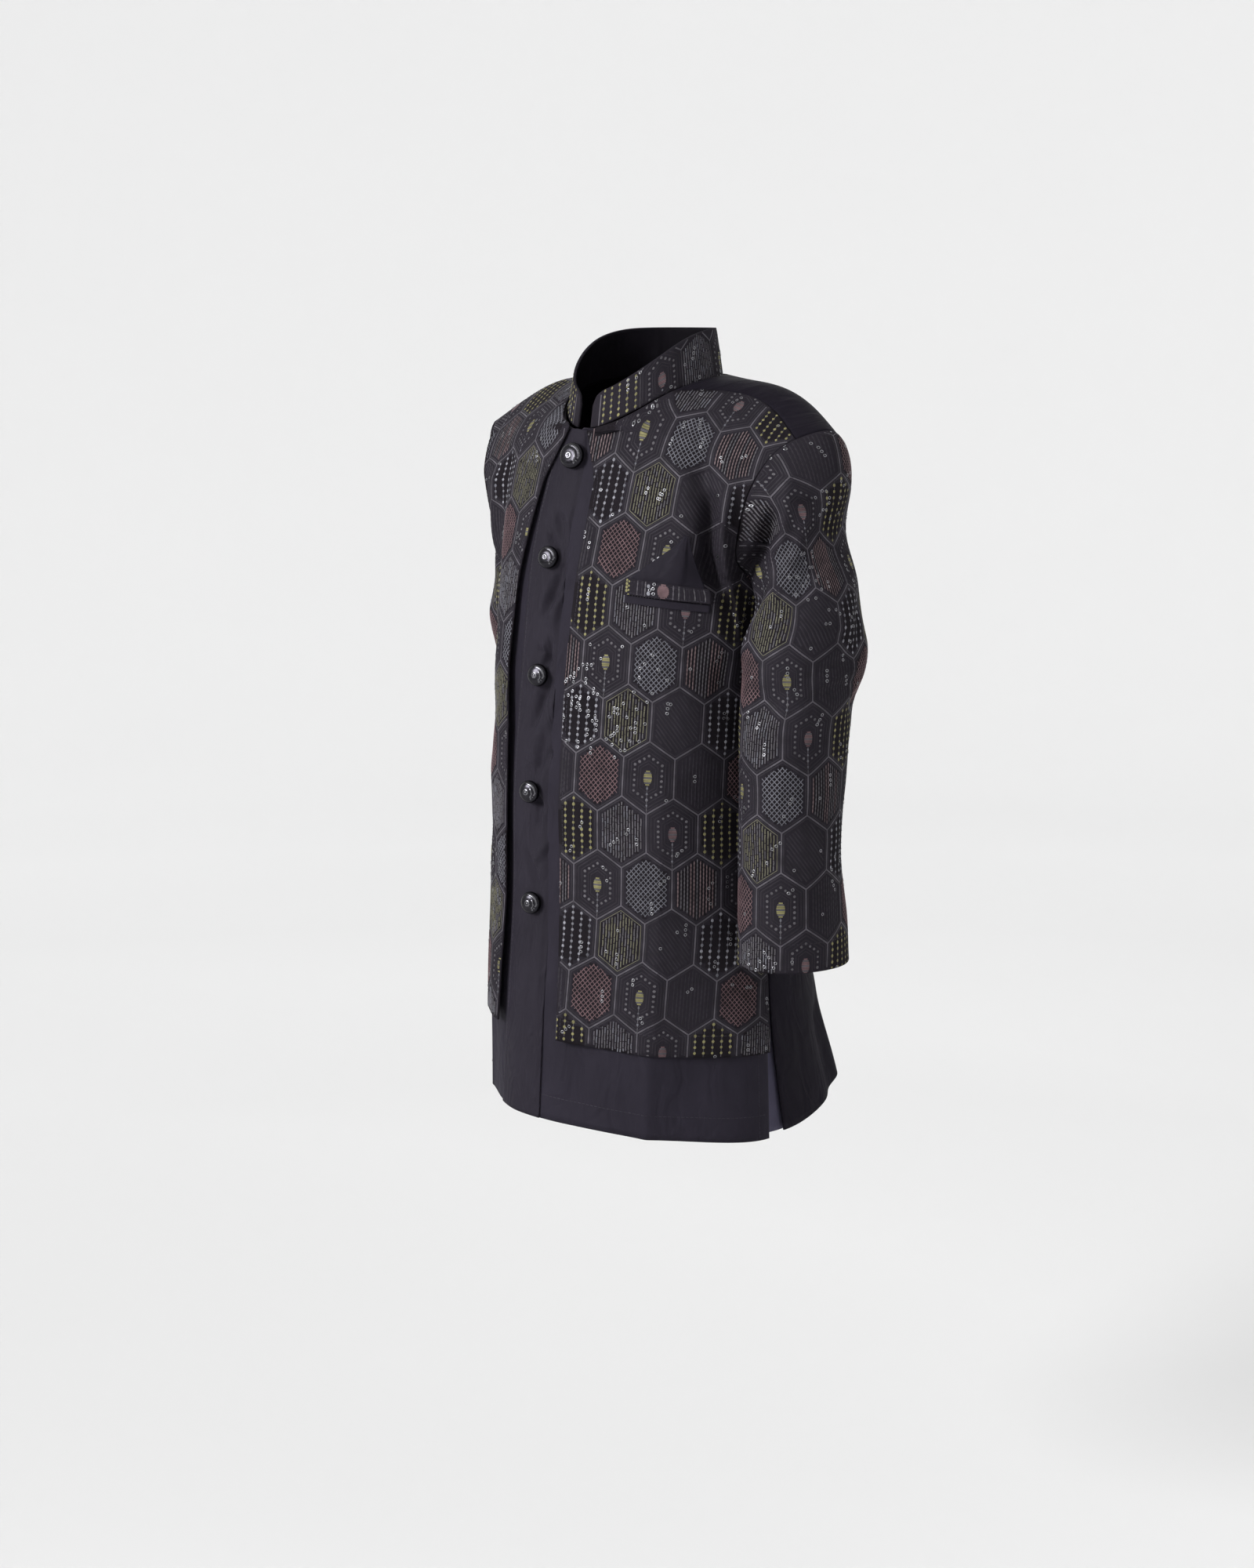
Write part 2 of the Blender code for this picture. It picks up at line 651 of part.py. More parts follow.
def sleeve_point(row, share, side, t):
    """t under 0 is the cap, -1 at the armhole; from 0 down it counts the arm's rings."""
    p = plain_sleeve_point(row, share, side, t)
    back_set = RIGHT_ARM_BACK if side < 0 else 0.0
    axis = Vector((side * ARM_AXIS_X, ARM_AXIS_Y + back_set, p.z))
    height = fold_height(p, side, SLEEVE_FOLDS) * smooth_step(t, -1.0, -0.8)
    return p + (p - axis).normalized() * height


def plain_sleeve_point(row, share, side, t):
    if t >= 0.0:
        return ring_point(side, t, share)
    start, way, top = sleeve_start(row, share, side)
    first = ring_point(side, 0.0, share)
    second = ring_point(side, 0.25, share)
    reach = (first - start).length
    upper = smooth_step(top, 0.2, 0.8)
    out = way * blend(reach, CAP_FULLNESS[side] * CAP_BULGE, upper)
    down = (second - first).normalized() * blend(reach, CAP_DROP, upper)
    return hermite(start, first, out, down, t + 1.0)


def sleeve(name, side, collection, material):
    lines = armhole_lines(side)
    stations = list(CAP_STATIONS) + [i * ARM_STEP for i in range(1, ARM_STEPS + 1)]
    points = [sleeve_point(row, share, side, t) for t in stations for row, share in lines]
    faces = grid_faces(len(stations), len(lines), flip=side > 0, closed=True)
    return new_object(name, points, faces, collection, material, SLEEVE_CLOTH)


def collar(name, collection, material):
    points = []
    half_length = math.pi - COLLAR_GAP_ANGLE
    radius = (NECK_HALF_WIDTH + NECK_HALF_DEPTH) / 2.0
    for share in COLLAR_HEIGHTS:
        for i in range(COLLAR_LINES + 1):
            s = 2.0 * i / COLLAR_LINES - 1.0
            s = blend(s, math.sin(s * math.pi / 2.0), COLLAR_CLOSER)
            angle = math.pi + s * half_length
            from_end = (1.0 - abs(s)) * half_length * radius
            full = smooth_step(from_end, 0.0, COLLAR_RISE_RUN)
            height = blend(COLLAR_END_HEIGHT, COLLAR_BACK_HEIGHT, full)
            if from_end < COLLAR_CORNER:
                part = 1.0 - from_end / COLLAR_CORNER
                height -= COLLAR_CORNER * (1.0 - math.sqrt(1.0 - part * part)) * COLLAR_CORNER_DEPTH
            base = neck_point(angle)
            inward = -Vector((base.x, base.y, 0.0)).normalized()
            rise = Vector((0.0, 0.0, 1.0)) + inward * COLLAR_LEAN
            over = COLLAR_OVER_SEAM
            over += COLLAR_OVER_SHOULDER * smooth_step(1.0 - math.cos(angle), 0.3, 1.0)
            lift = Vector((0.0, 0.0, over)) + inward * COLLAR_INSIDE_SEAM
            points.append(base + lift + rise.normalized() * height * share)
    faces = grid_faces(len(COLLAR_HEIGHTS), COLLAR_LINES + 1)
    return new_object(name, points, faces, collection, material, COLLAR_CLOTH)


def placket(name, collection, material):
    points = []
    rows = [row for row in FRONT_ROWS if row <= FRONT_NECK_ROW]
    for row in rows:
        right_edge = -row_value(PLACKET_TO_RIGHT, row)
        left_edge = row_value(PLACKET_TO_LEFT, row)
        for i in range(PLACKET_COLUMNS):
            offset = blend(right_edge, left_edge, i / (PLACKET_COLUMNS - 1))
            side = 1 if offset >= 0.0 else -1
            u = u_at(row, side, abs(offset))
            points.append(on_form(row, u, side, SEAM_GAP + KURTA_CLOTH))
    faces = grid_faces(len(rows), PLACKET_COLUMNS)
    return new_object(name, points, faces, collection, material, KURTA_CLOTH)


def row_at_height(height, u, side):
    """Row on the front whose point at u lies at this height."""
    low = POCKET_ROW_LOW
    high = POCKET_ROW_HIGH
    for _ in range(POCKET_HALVINGS):
        middle = (low + high) / 2.0
        if form_point(middle, u, side).z < height:
            low = middle
        else:
            high = middle
    return low


def pocket_point(across, down, lift):
    """Point over the left jacket front; across 0 to 1 outward, down from the pocket's mouth."""
    height = blend(POCKET_TOP_INNER, POCKET_TOP_OUTER, across) - down
    u = u_at(POCKET_ROW, 1, POCKET_FROM_CENTRE + POCKET_WIDTH * across)
    row = row_at_height(height, u, 1)
    return on_form(row, u, 1, jacket_lift(row, u, 1) + lift)


def pocket_strip(name, top, bottom, lift, cloth, collection, material):
    downs = (bottom, (top + bottom) / 2.0, top)
    points = []
    for down in downs:
        for c in range(STRIP_COLUMNS):
            points.append(pocket_point(c / (STRIP_COLUMNS - 1), down, lift + cloth))
    faces = grid_faces(len(downs), STRIP_COLUMNS)
    return new_object(name, points, faces, collection, material, cloth)


def pocket_square(name, collection, material):
    """A folded peak that stands out of the pocket, its foot behind the welt."""
    points = []
    for r in range(SQUARE_ROWS):
        down = blend(SQUARE_TUCK, -SQUARE_PEAK, r / (SQUARE_ROWS - 1))
        share = max(0.0, -down / SQUARE_PEAK)
        inner = blend(SQUARE_FOOT_ACROSS[0], SQUARE_PEAK_ACROSS[0], share)
        outer = blend(SQUARE_FOOT_ACROSS[1], SQUARE_PEAK_ACROSS[1], share ** SQUARE_OUTER_CURVE)
        for c in range(SQUARE_COLUMNS):
            across = blend(inner, outer, c / (SQUARE_COLUMNS - 1))
            points.append(pocket_point(across, down, POCKET_LIFT + SQUARE_CLOTH))
    faces = grid_faces(SQUARE_ROWS, SQUARE_COLUMNS)
    return new_object(name, points, faces, collection, material, SQUARE_CLOTH)


def slit_facing(name, side, collection, material):
    """Underlap inside the back's edge of a side slit."""
    points = []
    lift = SLIT_FACING_LIFT
    for row in SLIT_FACING_ROWS:
        whole = distance_table(row, side)[-1][0]
        last = u_before_seam(row, side)
        edge = on_form(row, last, side, lift)
        inner = on_form(row, last - SLIT_FACING_UNDER / whole, side, lift)
        out = (edge - on_form(row, last - NORMAL_STEP, side, lift)).normalized()
        into = form_normal(row, 1.0, side) * -1.0
        points += [inner, edge]
        for reach in (SLIT_FACING_OUT / 2.0, SLIT_FACING_OUT):
            points.append(edge + out * reach + into * reach * reach / (2.0 * SLIT_FACING_BEND))
    faces = grid_faces(len(SLIT_FACING_ROWS), 4, flip=side < 0)
    return new_object(name, points, faces, collection, material, SLIT_FACING_CLOTH)


def button(name, row, to_right, radius, collection, material):
    """A domed button on a short shank, turned a little to the wearer's left."""
    points = [(r * radius, 0.0, h * BUTTON_HEIGHT) for r, h in BUTTON_PROFILE]
    mesh = bpy.data.meshes.new(name)
    mesh.from_pydata(points, [(i, i + 1) for i in range(len(points) - 1)], [])
    obj = bpy.data.objects.new(name, mesh)
    collection.objects.link(obj)
    obj.data.materials.append(material)
    turn = obj.modifiers.new("turn", "SCREW")
    turn.steps = BUTTON_SIDES
    turn.render_steps = BUTTON_SIDES
    turn.use_merge_vertices = True
    turn.merge_threshold = MERGE_DISTANCE
    u = u_at(row, -1, to_right)
    normal = form_normal(row, u, -1)
    obj.location = form_point(row, u, -1) + normal * BUTTON_LIFT
    facing = Matrix.Rotation(BUTTON_TURN, 3, "Z") @ normal
    obj.rotation_euler = facing.to_track_quat("Z", "Y").to_euler()
    return obj


def main():
    for obj in list(bpy.data.objects):
        bpy.data.objects.remove(obj, do_unlink=True)
    collection = bpy.data.collections.new("sherwani")
    bpy.context.scene.collection.children.link(collection)
    left = new_material("kurta_left_cloth", PLAIN, 0.55)
    right = new_material("kurta_right_cloth", PLAIN, 0.55)
    kurta_front("kurta_front_left", 1, collection, left)
    kurta_front("kurta_front_right", -1, collection, right)
    placket("kurta_placket", collection, new_material("placket_cloth", PLAIN, 0.55))
    jacket_front("jacket_front_left", 1, collection, new_material("jacket_left", WORKED, 0.7))
    jacket_front("jacket_front_right", -1, collection, new_material("jacket_right", WORKED, 0.7))
    back("back", collection, new_material("back_cloth", PLAIN, 0.6))
    sleeve("sleeve_left", 1, collection, new_material("sleeve_left_cloth", WORKED, 0.7))
    sleeve("sleeve_right", -1, collection, new_material("sleeve_right_cloth", WORKED, 0.7))
    collar("collar", collection, new_material("collar_cloth", WORKED, 0.7))
    welt_lift = POCKET_LIFT + 2.5 * SEAM_GAP + SQUARE_CLOTH
    trim = new_material("welt_cloth", WORKED, 0.7)
    pocket_strip("pocket_welt", 0.0, WELT_HEIGHT, welt_lift, WELT_CLOTH, collection, trim)
    band_top = WELT_HEIGHT + 2.0 * SEAM_GAP
    band_foot = band_top + BAND_HEIGHT
    trim = new_material("band_cloth", PLAIN, 0.6)
    pocket_strip("pocket_band", band_top, band_foot, POCKET_LIFT, BAND_CLOTH, collection, trim)
    pocket_square("pocket_square", collection, new_material("square_cloth", PLAIN, 0.6))
    slit_facing("slit_facing_left", 1, collection, new_material("facing_left", LILAC, 0.7))
    slit_facing("slit_facing_right", -1, collection, new_material("facing_right", LILAC, 0.7))
    for i, (row, to_right, radius) in enumerate(BUTTONS, 1):
        metal = new_material("button_metal_%d" % i, METAL, 0.3, 0.9)
        button("button_%d" % i, row, to_right, radius, collection, metal)


main()
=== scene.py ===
"""Looks of the child's sherwani: thin cloth shells on the solids' form, with their folds,
embroidery, sequins, stitches, buttons, and a plain studio.

Metres, +Z up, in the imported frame. The front faces -Y and the wearer's left is +X. A panel is
a grid of points on the worn form. Its chart gives each point a place (x, y) on the flat cloth,
and the embroidery is drawn in the chart and laid on the panel.
"""

import math
import random
from functools import partial

import bpy
import numpy as np
from mathutils import Matrix, Vector
from mathutils.bvhtree import BVHTree


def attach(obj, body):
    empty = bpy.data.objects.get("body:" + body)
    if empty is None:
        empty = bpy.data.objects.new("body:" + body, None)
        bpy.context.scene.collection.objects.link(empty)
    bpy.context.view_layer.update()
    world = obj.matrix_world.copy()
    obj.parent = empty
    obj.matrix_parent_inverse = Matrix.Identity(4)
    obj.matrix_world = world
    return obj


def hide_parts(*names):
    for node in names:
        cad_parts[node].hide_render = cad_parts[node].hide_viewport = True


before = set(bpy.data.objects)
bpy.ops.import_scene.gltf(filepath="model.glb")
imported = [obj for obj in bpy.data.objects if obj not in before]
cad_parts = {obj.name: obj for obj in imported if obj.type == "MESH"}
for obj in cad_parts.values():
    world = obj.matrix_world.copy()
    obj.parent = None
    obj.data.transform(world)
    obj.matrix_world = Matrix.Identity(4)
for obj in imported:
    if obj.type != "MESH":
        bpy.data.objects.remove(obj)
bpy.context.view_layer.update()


def metres(table):
    """Metres for a table in millimetres, which has at most one decimal."""
    if isinstance(table, (tuple, list)):
        return tuple(metres(value) for value in table)
    return round(table * 10) / 10000.0


def vectors(*rows):
    return [Vector(metres(row)) for row in rows]


def fold_table(*rows):
    """Folds, each with its side (0 is both, 1 the wearer's left), width, height and run of points."""
    return [(side,) + metres(rest) for side, *rest in rows]


# The camera, which stands ahead of the garment, to its left
CAMERA_PLACE = (1.4301, -1.6650, 0.055)
CAMERA_TURN = 41.024
CAMERA_DIP = 9.3575
SENSOR = 36.0
LENS = 66.33

# The worn form, as in the part's source
KURTA_CLOTH = 0.0012
JACKET_CLOTH = 0.0014
BACK_CLOTH = 0.0014
SLEEVE_CLOTH = 0.0014
COLLAR_CLOTH = 0.0022
SEAM_GAP = 0.0003
NECK_SHORT = 0.0006
KURTA_NECK_SHORT = 0.0012
KURTA_CENTRE_GAP = 0.0001
JACKET_LIFT = 0.0023
NECK_HALF_WIDTH = 0.058
NECK_HALF_DEPTH = 0.062
NECK_FRONT_DROP = 0.034
NECK_BACK_RISE = 0.004
GARMENT_TURN = math.radians(9.5)
FRONT_NECK_ROW = 8
BACK_NECK_ROW = 12
FRONT_PIT_ROW = 5
BACK_PIT_ROW = 15
LAST_ROW = 20
SHOULDER_ROW = 10.0
ROW_STEP = 0.13
SHOULDER_STEP = 0.11
CENTRE_FRONT = vectors(
    (-20, -119.3, -547.5), (-19, -110.5, -465), (-17.5, -102, -385), (-17, -101.6, -300),
    (-15.7, -93.7, -213), (-14.5, -86.5, -150), (-13.5, -80, -113), (-12, -69, -72), (-10.2, -61.2, -34),
)
NECK_ANGLES = (0.0, 42.0, 92.0, 138.0, 180.0)
CENTRE_BACK = vectors(
    (10, 61.2, 4), (8, 82, -45), (5, 93, -90), (2, 96, -140), (0, 90, -213), (0, 85, -300), (0, 93, -385),
    (0, 112, -465), (0, 133, -530),
)
TURN = vectors(
    (79, -90, -547.5), (81.5, -87, -465), (83, -81, -385), (84, -78, -300), (84, -73, -213),
    (85, -67, -150), (85, -62, -112), (83, -56, -73), (82, -45, -43), (95, -16, -19), (109, 20, -5),
    (102, 50, -13), (87, 70, -33), (79, 80, -72), (78, 88, -106), (80, 86, -148), (80, 78, -213),
    (81, 73, -300), (85, 80, -385), (92, 96, -465), (99, 116, -532),
)
SIDE_FRONT = vectors(
    (133, -11, -547.5), (127, -7, -465), (120.5, -3, -385), (117, 1, -300), (117.5, 5, -213),
    (121, 8, -150),
)
ARMHOLE = vectors(
    (121, 8, -150), (117, -33, -130), (123, -38, -98), (133, -34, -68), (148, -20, -44), (164, 8, -34),
    (157, 36, -45), (144, 48, -66), (132, 49, -95), (123.5, 33, -128), (121, 8, -150),
)
RIGHT_SHOULDER_IN = (0.0, 0.0095, 0.0070, 0.0030, 0.0)
SIDE_BACK = vectors(
    (121, 8, -150), (117.5, 5, -213), (117, 1, -300), (120.5, -3, -385), (126, -3, -465), (127, 12, -547.5),
)
PRESSED = (0.90, 0.70, 0.45, 0.20, 0.05, 0, 0, 0, 0, 0, 0, 0, 0, 0, 0, 0, 0, 0, 0.10, 0.20, 0.30)
HEM_TILT = 0.10
TILT_TOP = -0.15
TILT_BOTTOM = -0.55
BODY_FOLDS = fold_table(
    (0, 11.5, -4.5, (97, -49, -61), (101.5, -53.5, -133)),
    (0, 10, 3.5, (112.5, -44, -78), (111.5, -42, -132)), (0, 13, 3.5, (108, -46, -160), (112, -38, -195)),
    (0, 13, -4, (100, 70, -115), (95, 78, -190)), (0, 14, -8.5, (100, 78, -490), (102, 95, -570)),
    (0, 20, -6, (45, 105, -460), (48, 130, -560)),
)
SLEEVE_FOLDS = fold_table(
    (0, 27, -13, (190, 38, -102), (202, -15, -112)), (0, 13, -6, (165, -60, -85), (135, -45, -150)),
    (0, 12, 5, (180, -55, -90), (130, -55, -185)), (0, 11, -4.5, (200, 25, -225), (165, -68, -225)),
    (0, 18, 2.5, (205, 0, -195), (190, -50, -180)),
)
JACKET_HEM_ROW = 0.76
SHOULDER_SEAM = {1: (9.6, 9.3), -1: (10.8, 10.2)}
OPENING = {
    1: (0.032, 0.030, 0.0255, 0.0245, 0.023, 0.0245, 0.0255, 0.024, 0.009),
    -1: (0.030, 0.030, 0.031, 0.031, 0.037, 0.035, 0.0315, 0.026, 0.009),
}
EDGE_STAND_OFF = (0.0060, 0.0055, 0.0050, 0.0045, 0.0040, 0.0035, 0.0030, 0.0025, 0.0022)
EDGE_ROLL = 0.030
PLACKET_TO_RIGHT = (0.0275, 0.0280, 0.0300, 0.0285, 0.0270, 0.0270, 0.0280, 0.0255, 0.0200)
PLACKET_TO_LEFT = (0.0170, 0.0140, 0.0115, 0.0105, 0.0105, 0.0105, 0.0105, 0.0105, 0.0100)
SLEEVE_RINGS = vectors(
    (161.5, -8, -170, 37.5, 46), (163, -11, -190, 39.5, 52), (162.5, -15, -215, 39, 49),
    (161.5, -20.5, -240, 37.5, 45.5), (161, -23.5, -287, 36, 42), (162, -26.5, -343, 35.5, 41),
    (164, -25, -393, 37, 45), (165, -25, -417, 37.5, 46.5),
)
RIGHT_ARM_BACK = 0.088
RIGHT_ARM_TURN = 0.6
CAP_FULLNESS = {1: 0.050, -1: 0.040}
CAP_DROP = 0.11
SLEEVE_SEAM_GAP = 0.0005
COLLAR_GAP_ANGLE = math.radians(8.0)
COLLAR_END_HEIGHT = 0.026
COLLAR_BACK_HEIGHT = 0.034
COLLAR_LEAN = 0.16
COLLAR_CORNER = 0.012
COLLAR_OVER_SEAM = 0.0010
COLLAR_OVER_SHOULDER = 0.0018
COLLAR_INSIDE_SEAM = 0.0012
# How far the collar's lower edge is tucked down inside the back's neckline
COLLAR_TUCK = 0.0034
# Row, distance from the centre line to the wearer's right, radius
BUTTONS = (
    (7.47, 0.0005, 0.0098),
    (5.55, 0.0052, 0.0085),
    (3.97, 0.0047, 0.0085),
    (2.97, 0.0052, 0.0085),
    (1.97, 0.0034, 0.0085),
)
BUTTON_HEIGHT = 0.0075
BUTTON_LIFT = KURTA_CLOTH + 2.0 * SEAM_GAP + 0.0008
BUTTON_TURN = math.radians(14.0)
POCKET_TOP_INNER = -0.1395
POCKET_TOP_OUTER = -0.1455
POCKET_FROM_CENTRE = 0.0675
POCKET_WIDTH = 0.0580
POCKET_LIFT = 0.0011
WELT_HEIGHT = 0.0112
WELT_CLOTH = 0.0014
BAND_HEIGHT = 0.0056
BAND_CLOTH = 0.0012
SQUARE_CLOTH = 0.0010
SQUARE_PEAK = 0.0365
SQUARE_TUCK = 0.0050
SQUARE_PEAK_ACROSS = (0.76, 0.84)
SLIT_FACING_ROWS = (18.6, 20.0)
SLIT_FACING_CLOTH = 0.0010
SLIT_FACING_UNDER = 0.008
SLIT_FACING_OUT = 0.012
SLIT_FACING_LIFT = -0.0018
SLIT_FACING_BEND = 0.050


def blend(a, b, weight):
    return a + (b - a) * weight


def smooth_step(value, low, high):
    t = min(1.0, max(0.0, (value - low) / (high - low)))
    return t * t * (3.0 - 2.0 * t)


def hermite(p0, p1, t0, t1, u):
    u2 = u * u
    u3 = u2 * u
    return p0 * (2 * u3 - 3 * u2 + 1) + p1 * (3 * u2 - 2 * u3) + t0 * (u3 - 2 * u2 + u) + t1 * (u3 - u2)


def along(points, t):
    last = len(points) - 1
    i = min(last - 1, max(0, int(math.floor(t))))
    u = t - i
    p0 = points[i]
    p1 = points[i + 1]
    t0 = (p1 - points[i - 1]) * 0.5 if i > 0 else p1 - p0
    t1 = (points[i + 2] - p0) * 0.5 if i + 2 <= last else p1 - p0
    return hermite(p0, p1, t0, t1, u)


def row_value(values, row):
    i = min(len(values) - 2, int(row))
    return blend(values[i], values[i + 1], row - i)


def neck_point(angle):
    turned = angle - GARMENT_TURN
    low = ((1.0 + math.cos(angle)) / 2.0) ** 3
    height = blend(NECK_BACK_RISE, -NECK_FRONT_DROP, low)
    return Vector((NECK_HALF_WIDTH * math.sin(turned), -NECK_HALF_DEPTH * math.cos(turned), height))


def centre_point(row, side):
    if row <= FRONT_NECK_ROW:
        return along(CENTRE_FRONT, row)
    if row >= BACK_NECK_ROW:
        return along(CENTRE_BACK, row - BACK_NECK_ROW)
    i = int(row - FRONT_NECK_ROW)
    degrees = blend(NECK_ANGLES[i], NECK_ANGLES[i + 1], row - FRONT_NECK_ROW - i)
    return neck_point(side * math.radians(degrees))


def turn_point(row, side):
    p = along(TURN, row)
    return Vector((side * p.x, p.y, p.z))


def side_point(row, side):
    if row <= FRONT_PIT_ROW:
        p = along(SIDE_FRONT, row)
    elif row >= BACK_PIT_ROW:
        p = along(SIDE_BACK, row - BACK_PIT_ROW)
    else:
        p = along(ARMHOLE, row - FRONT_PIT_ROW)
        if side < 0 and FRONT_NECK_ROW < row < BACK_NECK_ROW:
            p.x -= row_value(RIGHT_SHOULDER_IN, row - FRONT_NECK_ROW)
    return Vector((side * p.x, p.y, p.z))


def form_point(row, u, side):
    """Point of the worn form: u runs from the centre line or neck, 0, to the side, 1."""
    centre = centre_point(row, side)
    turn = turn_point(row, side)
    seam = side_point(row, side)
    inner = (turn - centre).length
    outer = (seam - turn).length
    chord = (seam - centre).normalized()
    pressed = row_value(PRESSED, row)
    into_turn = blend(chord * inner, turn - centre, pressed)
    out_of_turn = blend(chord * outer, seam - turn, pressed)
    on_neck = smooth_step(row, FRONT_NECK_ROW, FRONT_NECK_ROW + 1)
    on_neck *= 1.0 - smooth_step(row, BACK_NECK_ROW - 1, BACK_NECK_ROW)
    level = Vector((side * inner, 0.0, 0.0))
    start = blend(level, (turn - centre) * 1.5 - into_turn * 0.5, on_neck)
    on_armhole = smooth_step(row, FRONT_PIT_ROW, FRONT_PIT_ROW + 2)
    on_armhole *= 1.0 - smooth_step(row, BACK_PIT_ROW - 2, BACK_PIT_ROW)
    backward = 1.0 if row < (FRONT_PIT_ROW + BACK_PIT_ROW) / 2 else -1.0
    round_side = Vector((0.0, backward * outer, 0.0))
    end = blend(round_side, (seam - turn) * 1.5 - out_of_turn * 0.5, on_armhole)
    if u < 0.5:
        p = hermite(centre, turn, start, into_turn, u * 2.0)
    else:
        p = hermite(turn, seam, out_of_turn, end, u * 2.0 - 1.0)
    hang = min(1.0, max(0.0, (TILT_TOP - p.z) / (TILT_TOP - TILT_BOTTOM)))
    p.z -= HEM_TILT * hang * p.x
    return p


def form_normal(row, u, side):
    step = 0.01
    u0 = max(0.0, u - step)
    u1 = min(1.0, u + step)
    row0 = max(0.0, row - step)
    row1 = min(float(LAST_ROW), row + step)
    across = form_point(row, u1, side) - form_point(row, u0, side)
    up = form_point(row1, u, side) - form_point(row0, u, side)
    return across.cross(up).normalized() * side


def fold_height(point, side, folds):
    total = 0.0
    for only, width, height, *ends in folds:
        if only in (0, side):
            a, b = [Vector((side * x, y, z)) for x, y, z in ends]
            run = b - a
            share = min(1.0, max(0.0, (point - a).dot(run) / run.dot(run)))
            away = (point - a - run * share).length
            if away < 3.0 * width:
                total += height * math.exp(-((away / width) ** 2))
    return total


def on_form(row, u, side, lift=0.0):
    p = form_point(row, u, side)
    return p + form_normal(row, u, side) * (lift + fold_height(p, side, BODY_FOLDS))


def distance_table(row, side, u0=0.0, u1=1.0, steps=30):
    """Distance along a row from u0, at steps of u up to u1, each with its u."""
    marks = [(0.0, u0)]
    before = form_point(row, u0, side)
    total = 0.0
    for i in range(1, steps + 1):
        u = blend(u0, u1, i / steps)
        here = form_point(row, u, side)
        total += (here - before).length
        marks.append((total, u))
        before = here
    return marks


def u_in(marks, distance):
    for (d0, u0), (d1, u1) in zip(marks, marks[1:]):
        if distance <= d1:
            return blend(u0, u1, (distance - d0) / (d1 - d0))
    return 1.0


def u_at(row, side, distance):
    return u_in(distance_table(row, side), distance)


GAP_SHARE = 0.3


def u_before_seam(row, side):
    """The u at which a panel ends, a small share of the seam's gap before the side."""
    return 1.0 - SEAM_GAP * GAP_SHARE / distance_table(row, side)[-1][0]


def opening_u(row, side):
    if row > FRONT_NECK_ROW:
        left = 1.0 - smooth_step(row, FRONT_NECK_ROW, FRONT_NECK_ROW + 0.4)
        return u_at(row, side, NECK_SHORT + OPENING[side][-1] * left)
    return u_at(row, side, row_value(OPENING[side], row))


def jacket_lift(row, u, side, edge=None):
    if row > FRONT_NECK_ROW + 1:
        return JACKET_LIFT
    if edge is None:
        edge = opening_u(row, side)
    away = (form_point(row, u, side) - form_point(row, edge, side)).length
    stand = EDGE_STAND_OFF[-1] if row >= FRONT_NECK_ROW else row_value(EDGE_STAND_OFF, row)
    stand *= 1.0 - smooth_step(row, FRONT_NECK_ROW, FRONT_NECK_ROW + 1)
    return JACKET_LIFT + stand * math.exp(-((away / EDGE_ROLL) ** 2))


def seam_row(side, u):
    neck_end, arm_end = SHOULDER_SEAM[side]
    return blend(neck_end, arm_end, u)


SEAM_SHORT = 0.005


def front_row(row, u, side):
    if row <= FRONT_NECK_ROW:
        return row
    share = (row - FRONT_NECK_ROW) / (SHOULDER_ROW - FRONT_NECK_ROW)
    return blend(FRONT_NECK_ROW, seam_row(side, u) - SEAM_SHORT, share)


def back_row(row, u, side):
    if row >= BACK_NECK_ROW:
        return row
    share = (BACK_NECK_ROW - row) / (BACK_NECK_ROW - SHOULDER_ROW)
    return blend(BACK_NECK_ROW, seam_row(side, u) + SEAM_SHORT, share)


WORDS = {1: "left", -1: "right"}
# How many steps a grid's step is split into
REFINE = 3


def refine_once(values, times, closed):
    """Adds points between the first axis's points on smooth curves through them."""
    count = len(values)
    if closed:
        before, after, far = np.roll(values, 1, 0), np.roll(values, -1, 0), np.roll(values, -2, 0)
        here = values
    else:
        here, after = values[:-1], values[1:]
        before = np.concatenate([2 * values[:1] - values[1:2], values[:-2]])
        far = np.concatenate([values[2:], 2 * values[-1:] - values[-2:-1]])
    parts = []
    for k in range(times):
        t = k / times
        t0, t1 = (after - before) * 0.5, (far - here) * 0.5
        h = (2 * t**3 - 3 * t**2 + 1) * here + (3 * t**2 - 2 * t**3) * after
        parts.append(h + (t**3 - 2 * t**2 + t) * t0 + (t**3 - t**2) * t1)
    out = np.stack(parts, 1).reshape((-1,) + values.shape[1:])
    return out if closed else np.concatenate([out, values[-1:]])


def refine(grid, rows=REFINE, columns=REFINE, closed=False):
    grid = refine_once(grid, rows, False)
    return refine_once(grid.swapaxes(0, 1), columns, closed).swapaxes(0, 1)


def grid_normals(grid, closed=False, flip=False):
    up = np.gradient(grid, axis=0)
    if closed:
        across = np.roll(grid, -1, 1) - np.roll(grid, 1, 1)
    else:
        across = np.gradient(grid, axis=1)
    normal = np.cross(across, up)
    normal /= np.linalg.norm(normal, axis=2, keepdims=True) + 1e-12
    return -normal if flip else normal


NOISE_WAVES = 9
NOISE_SPAN = 4.2


def soft_noise(grid, size, seed):
    """Smooth noise from -1 to 1 made of crossing waves, size metres from crest to crest."""
    rng = np.random.RandomState(seed)
    total = np.zeros(grid.shape[:2])
    for _ in range(NOISE_WAVES):
        way = rng.normal(size=3)
        way *= 2 * math.pi / (size * rng.uniform(0.7, 1.5)) / np.linalg.norm(way)
        total += np.sin(grid @ way + rng.uniform(0, 6.28))
    return total / NOISE_SPAN


# How a fold fades to its two ends
TAPER_START = 0.08
TAPER_RUN = 0.84
TAPER_POWER = 0.6


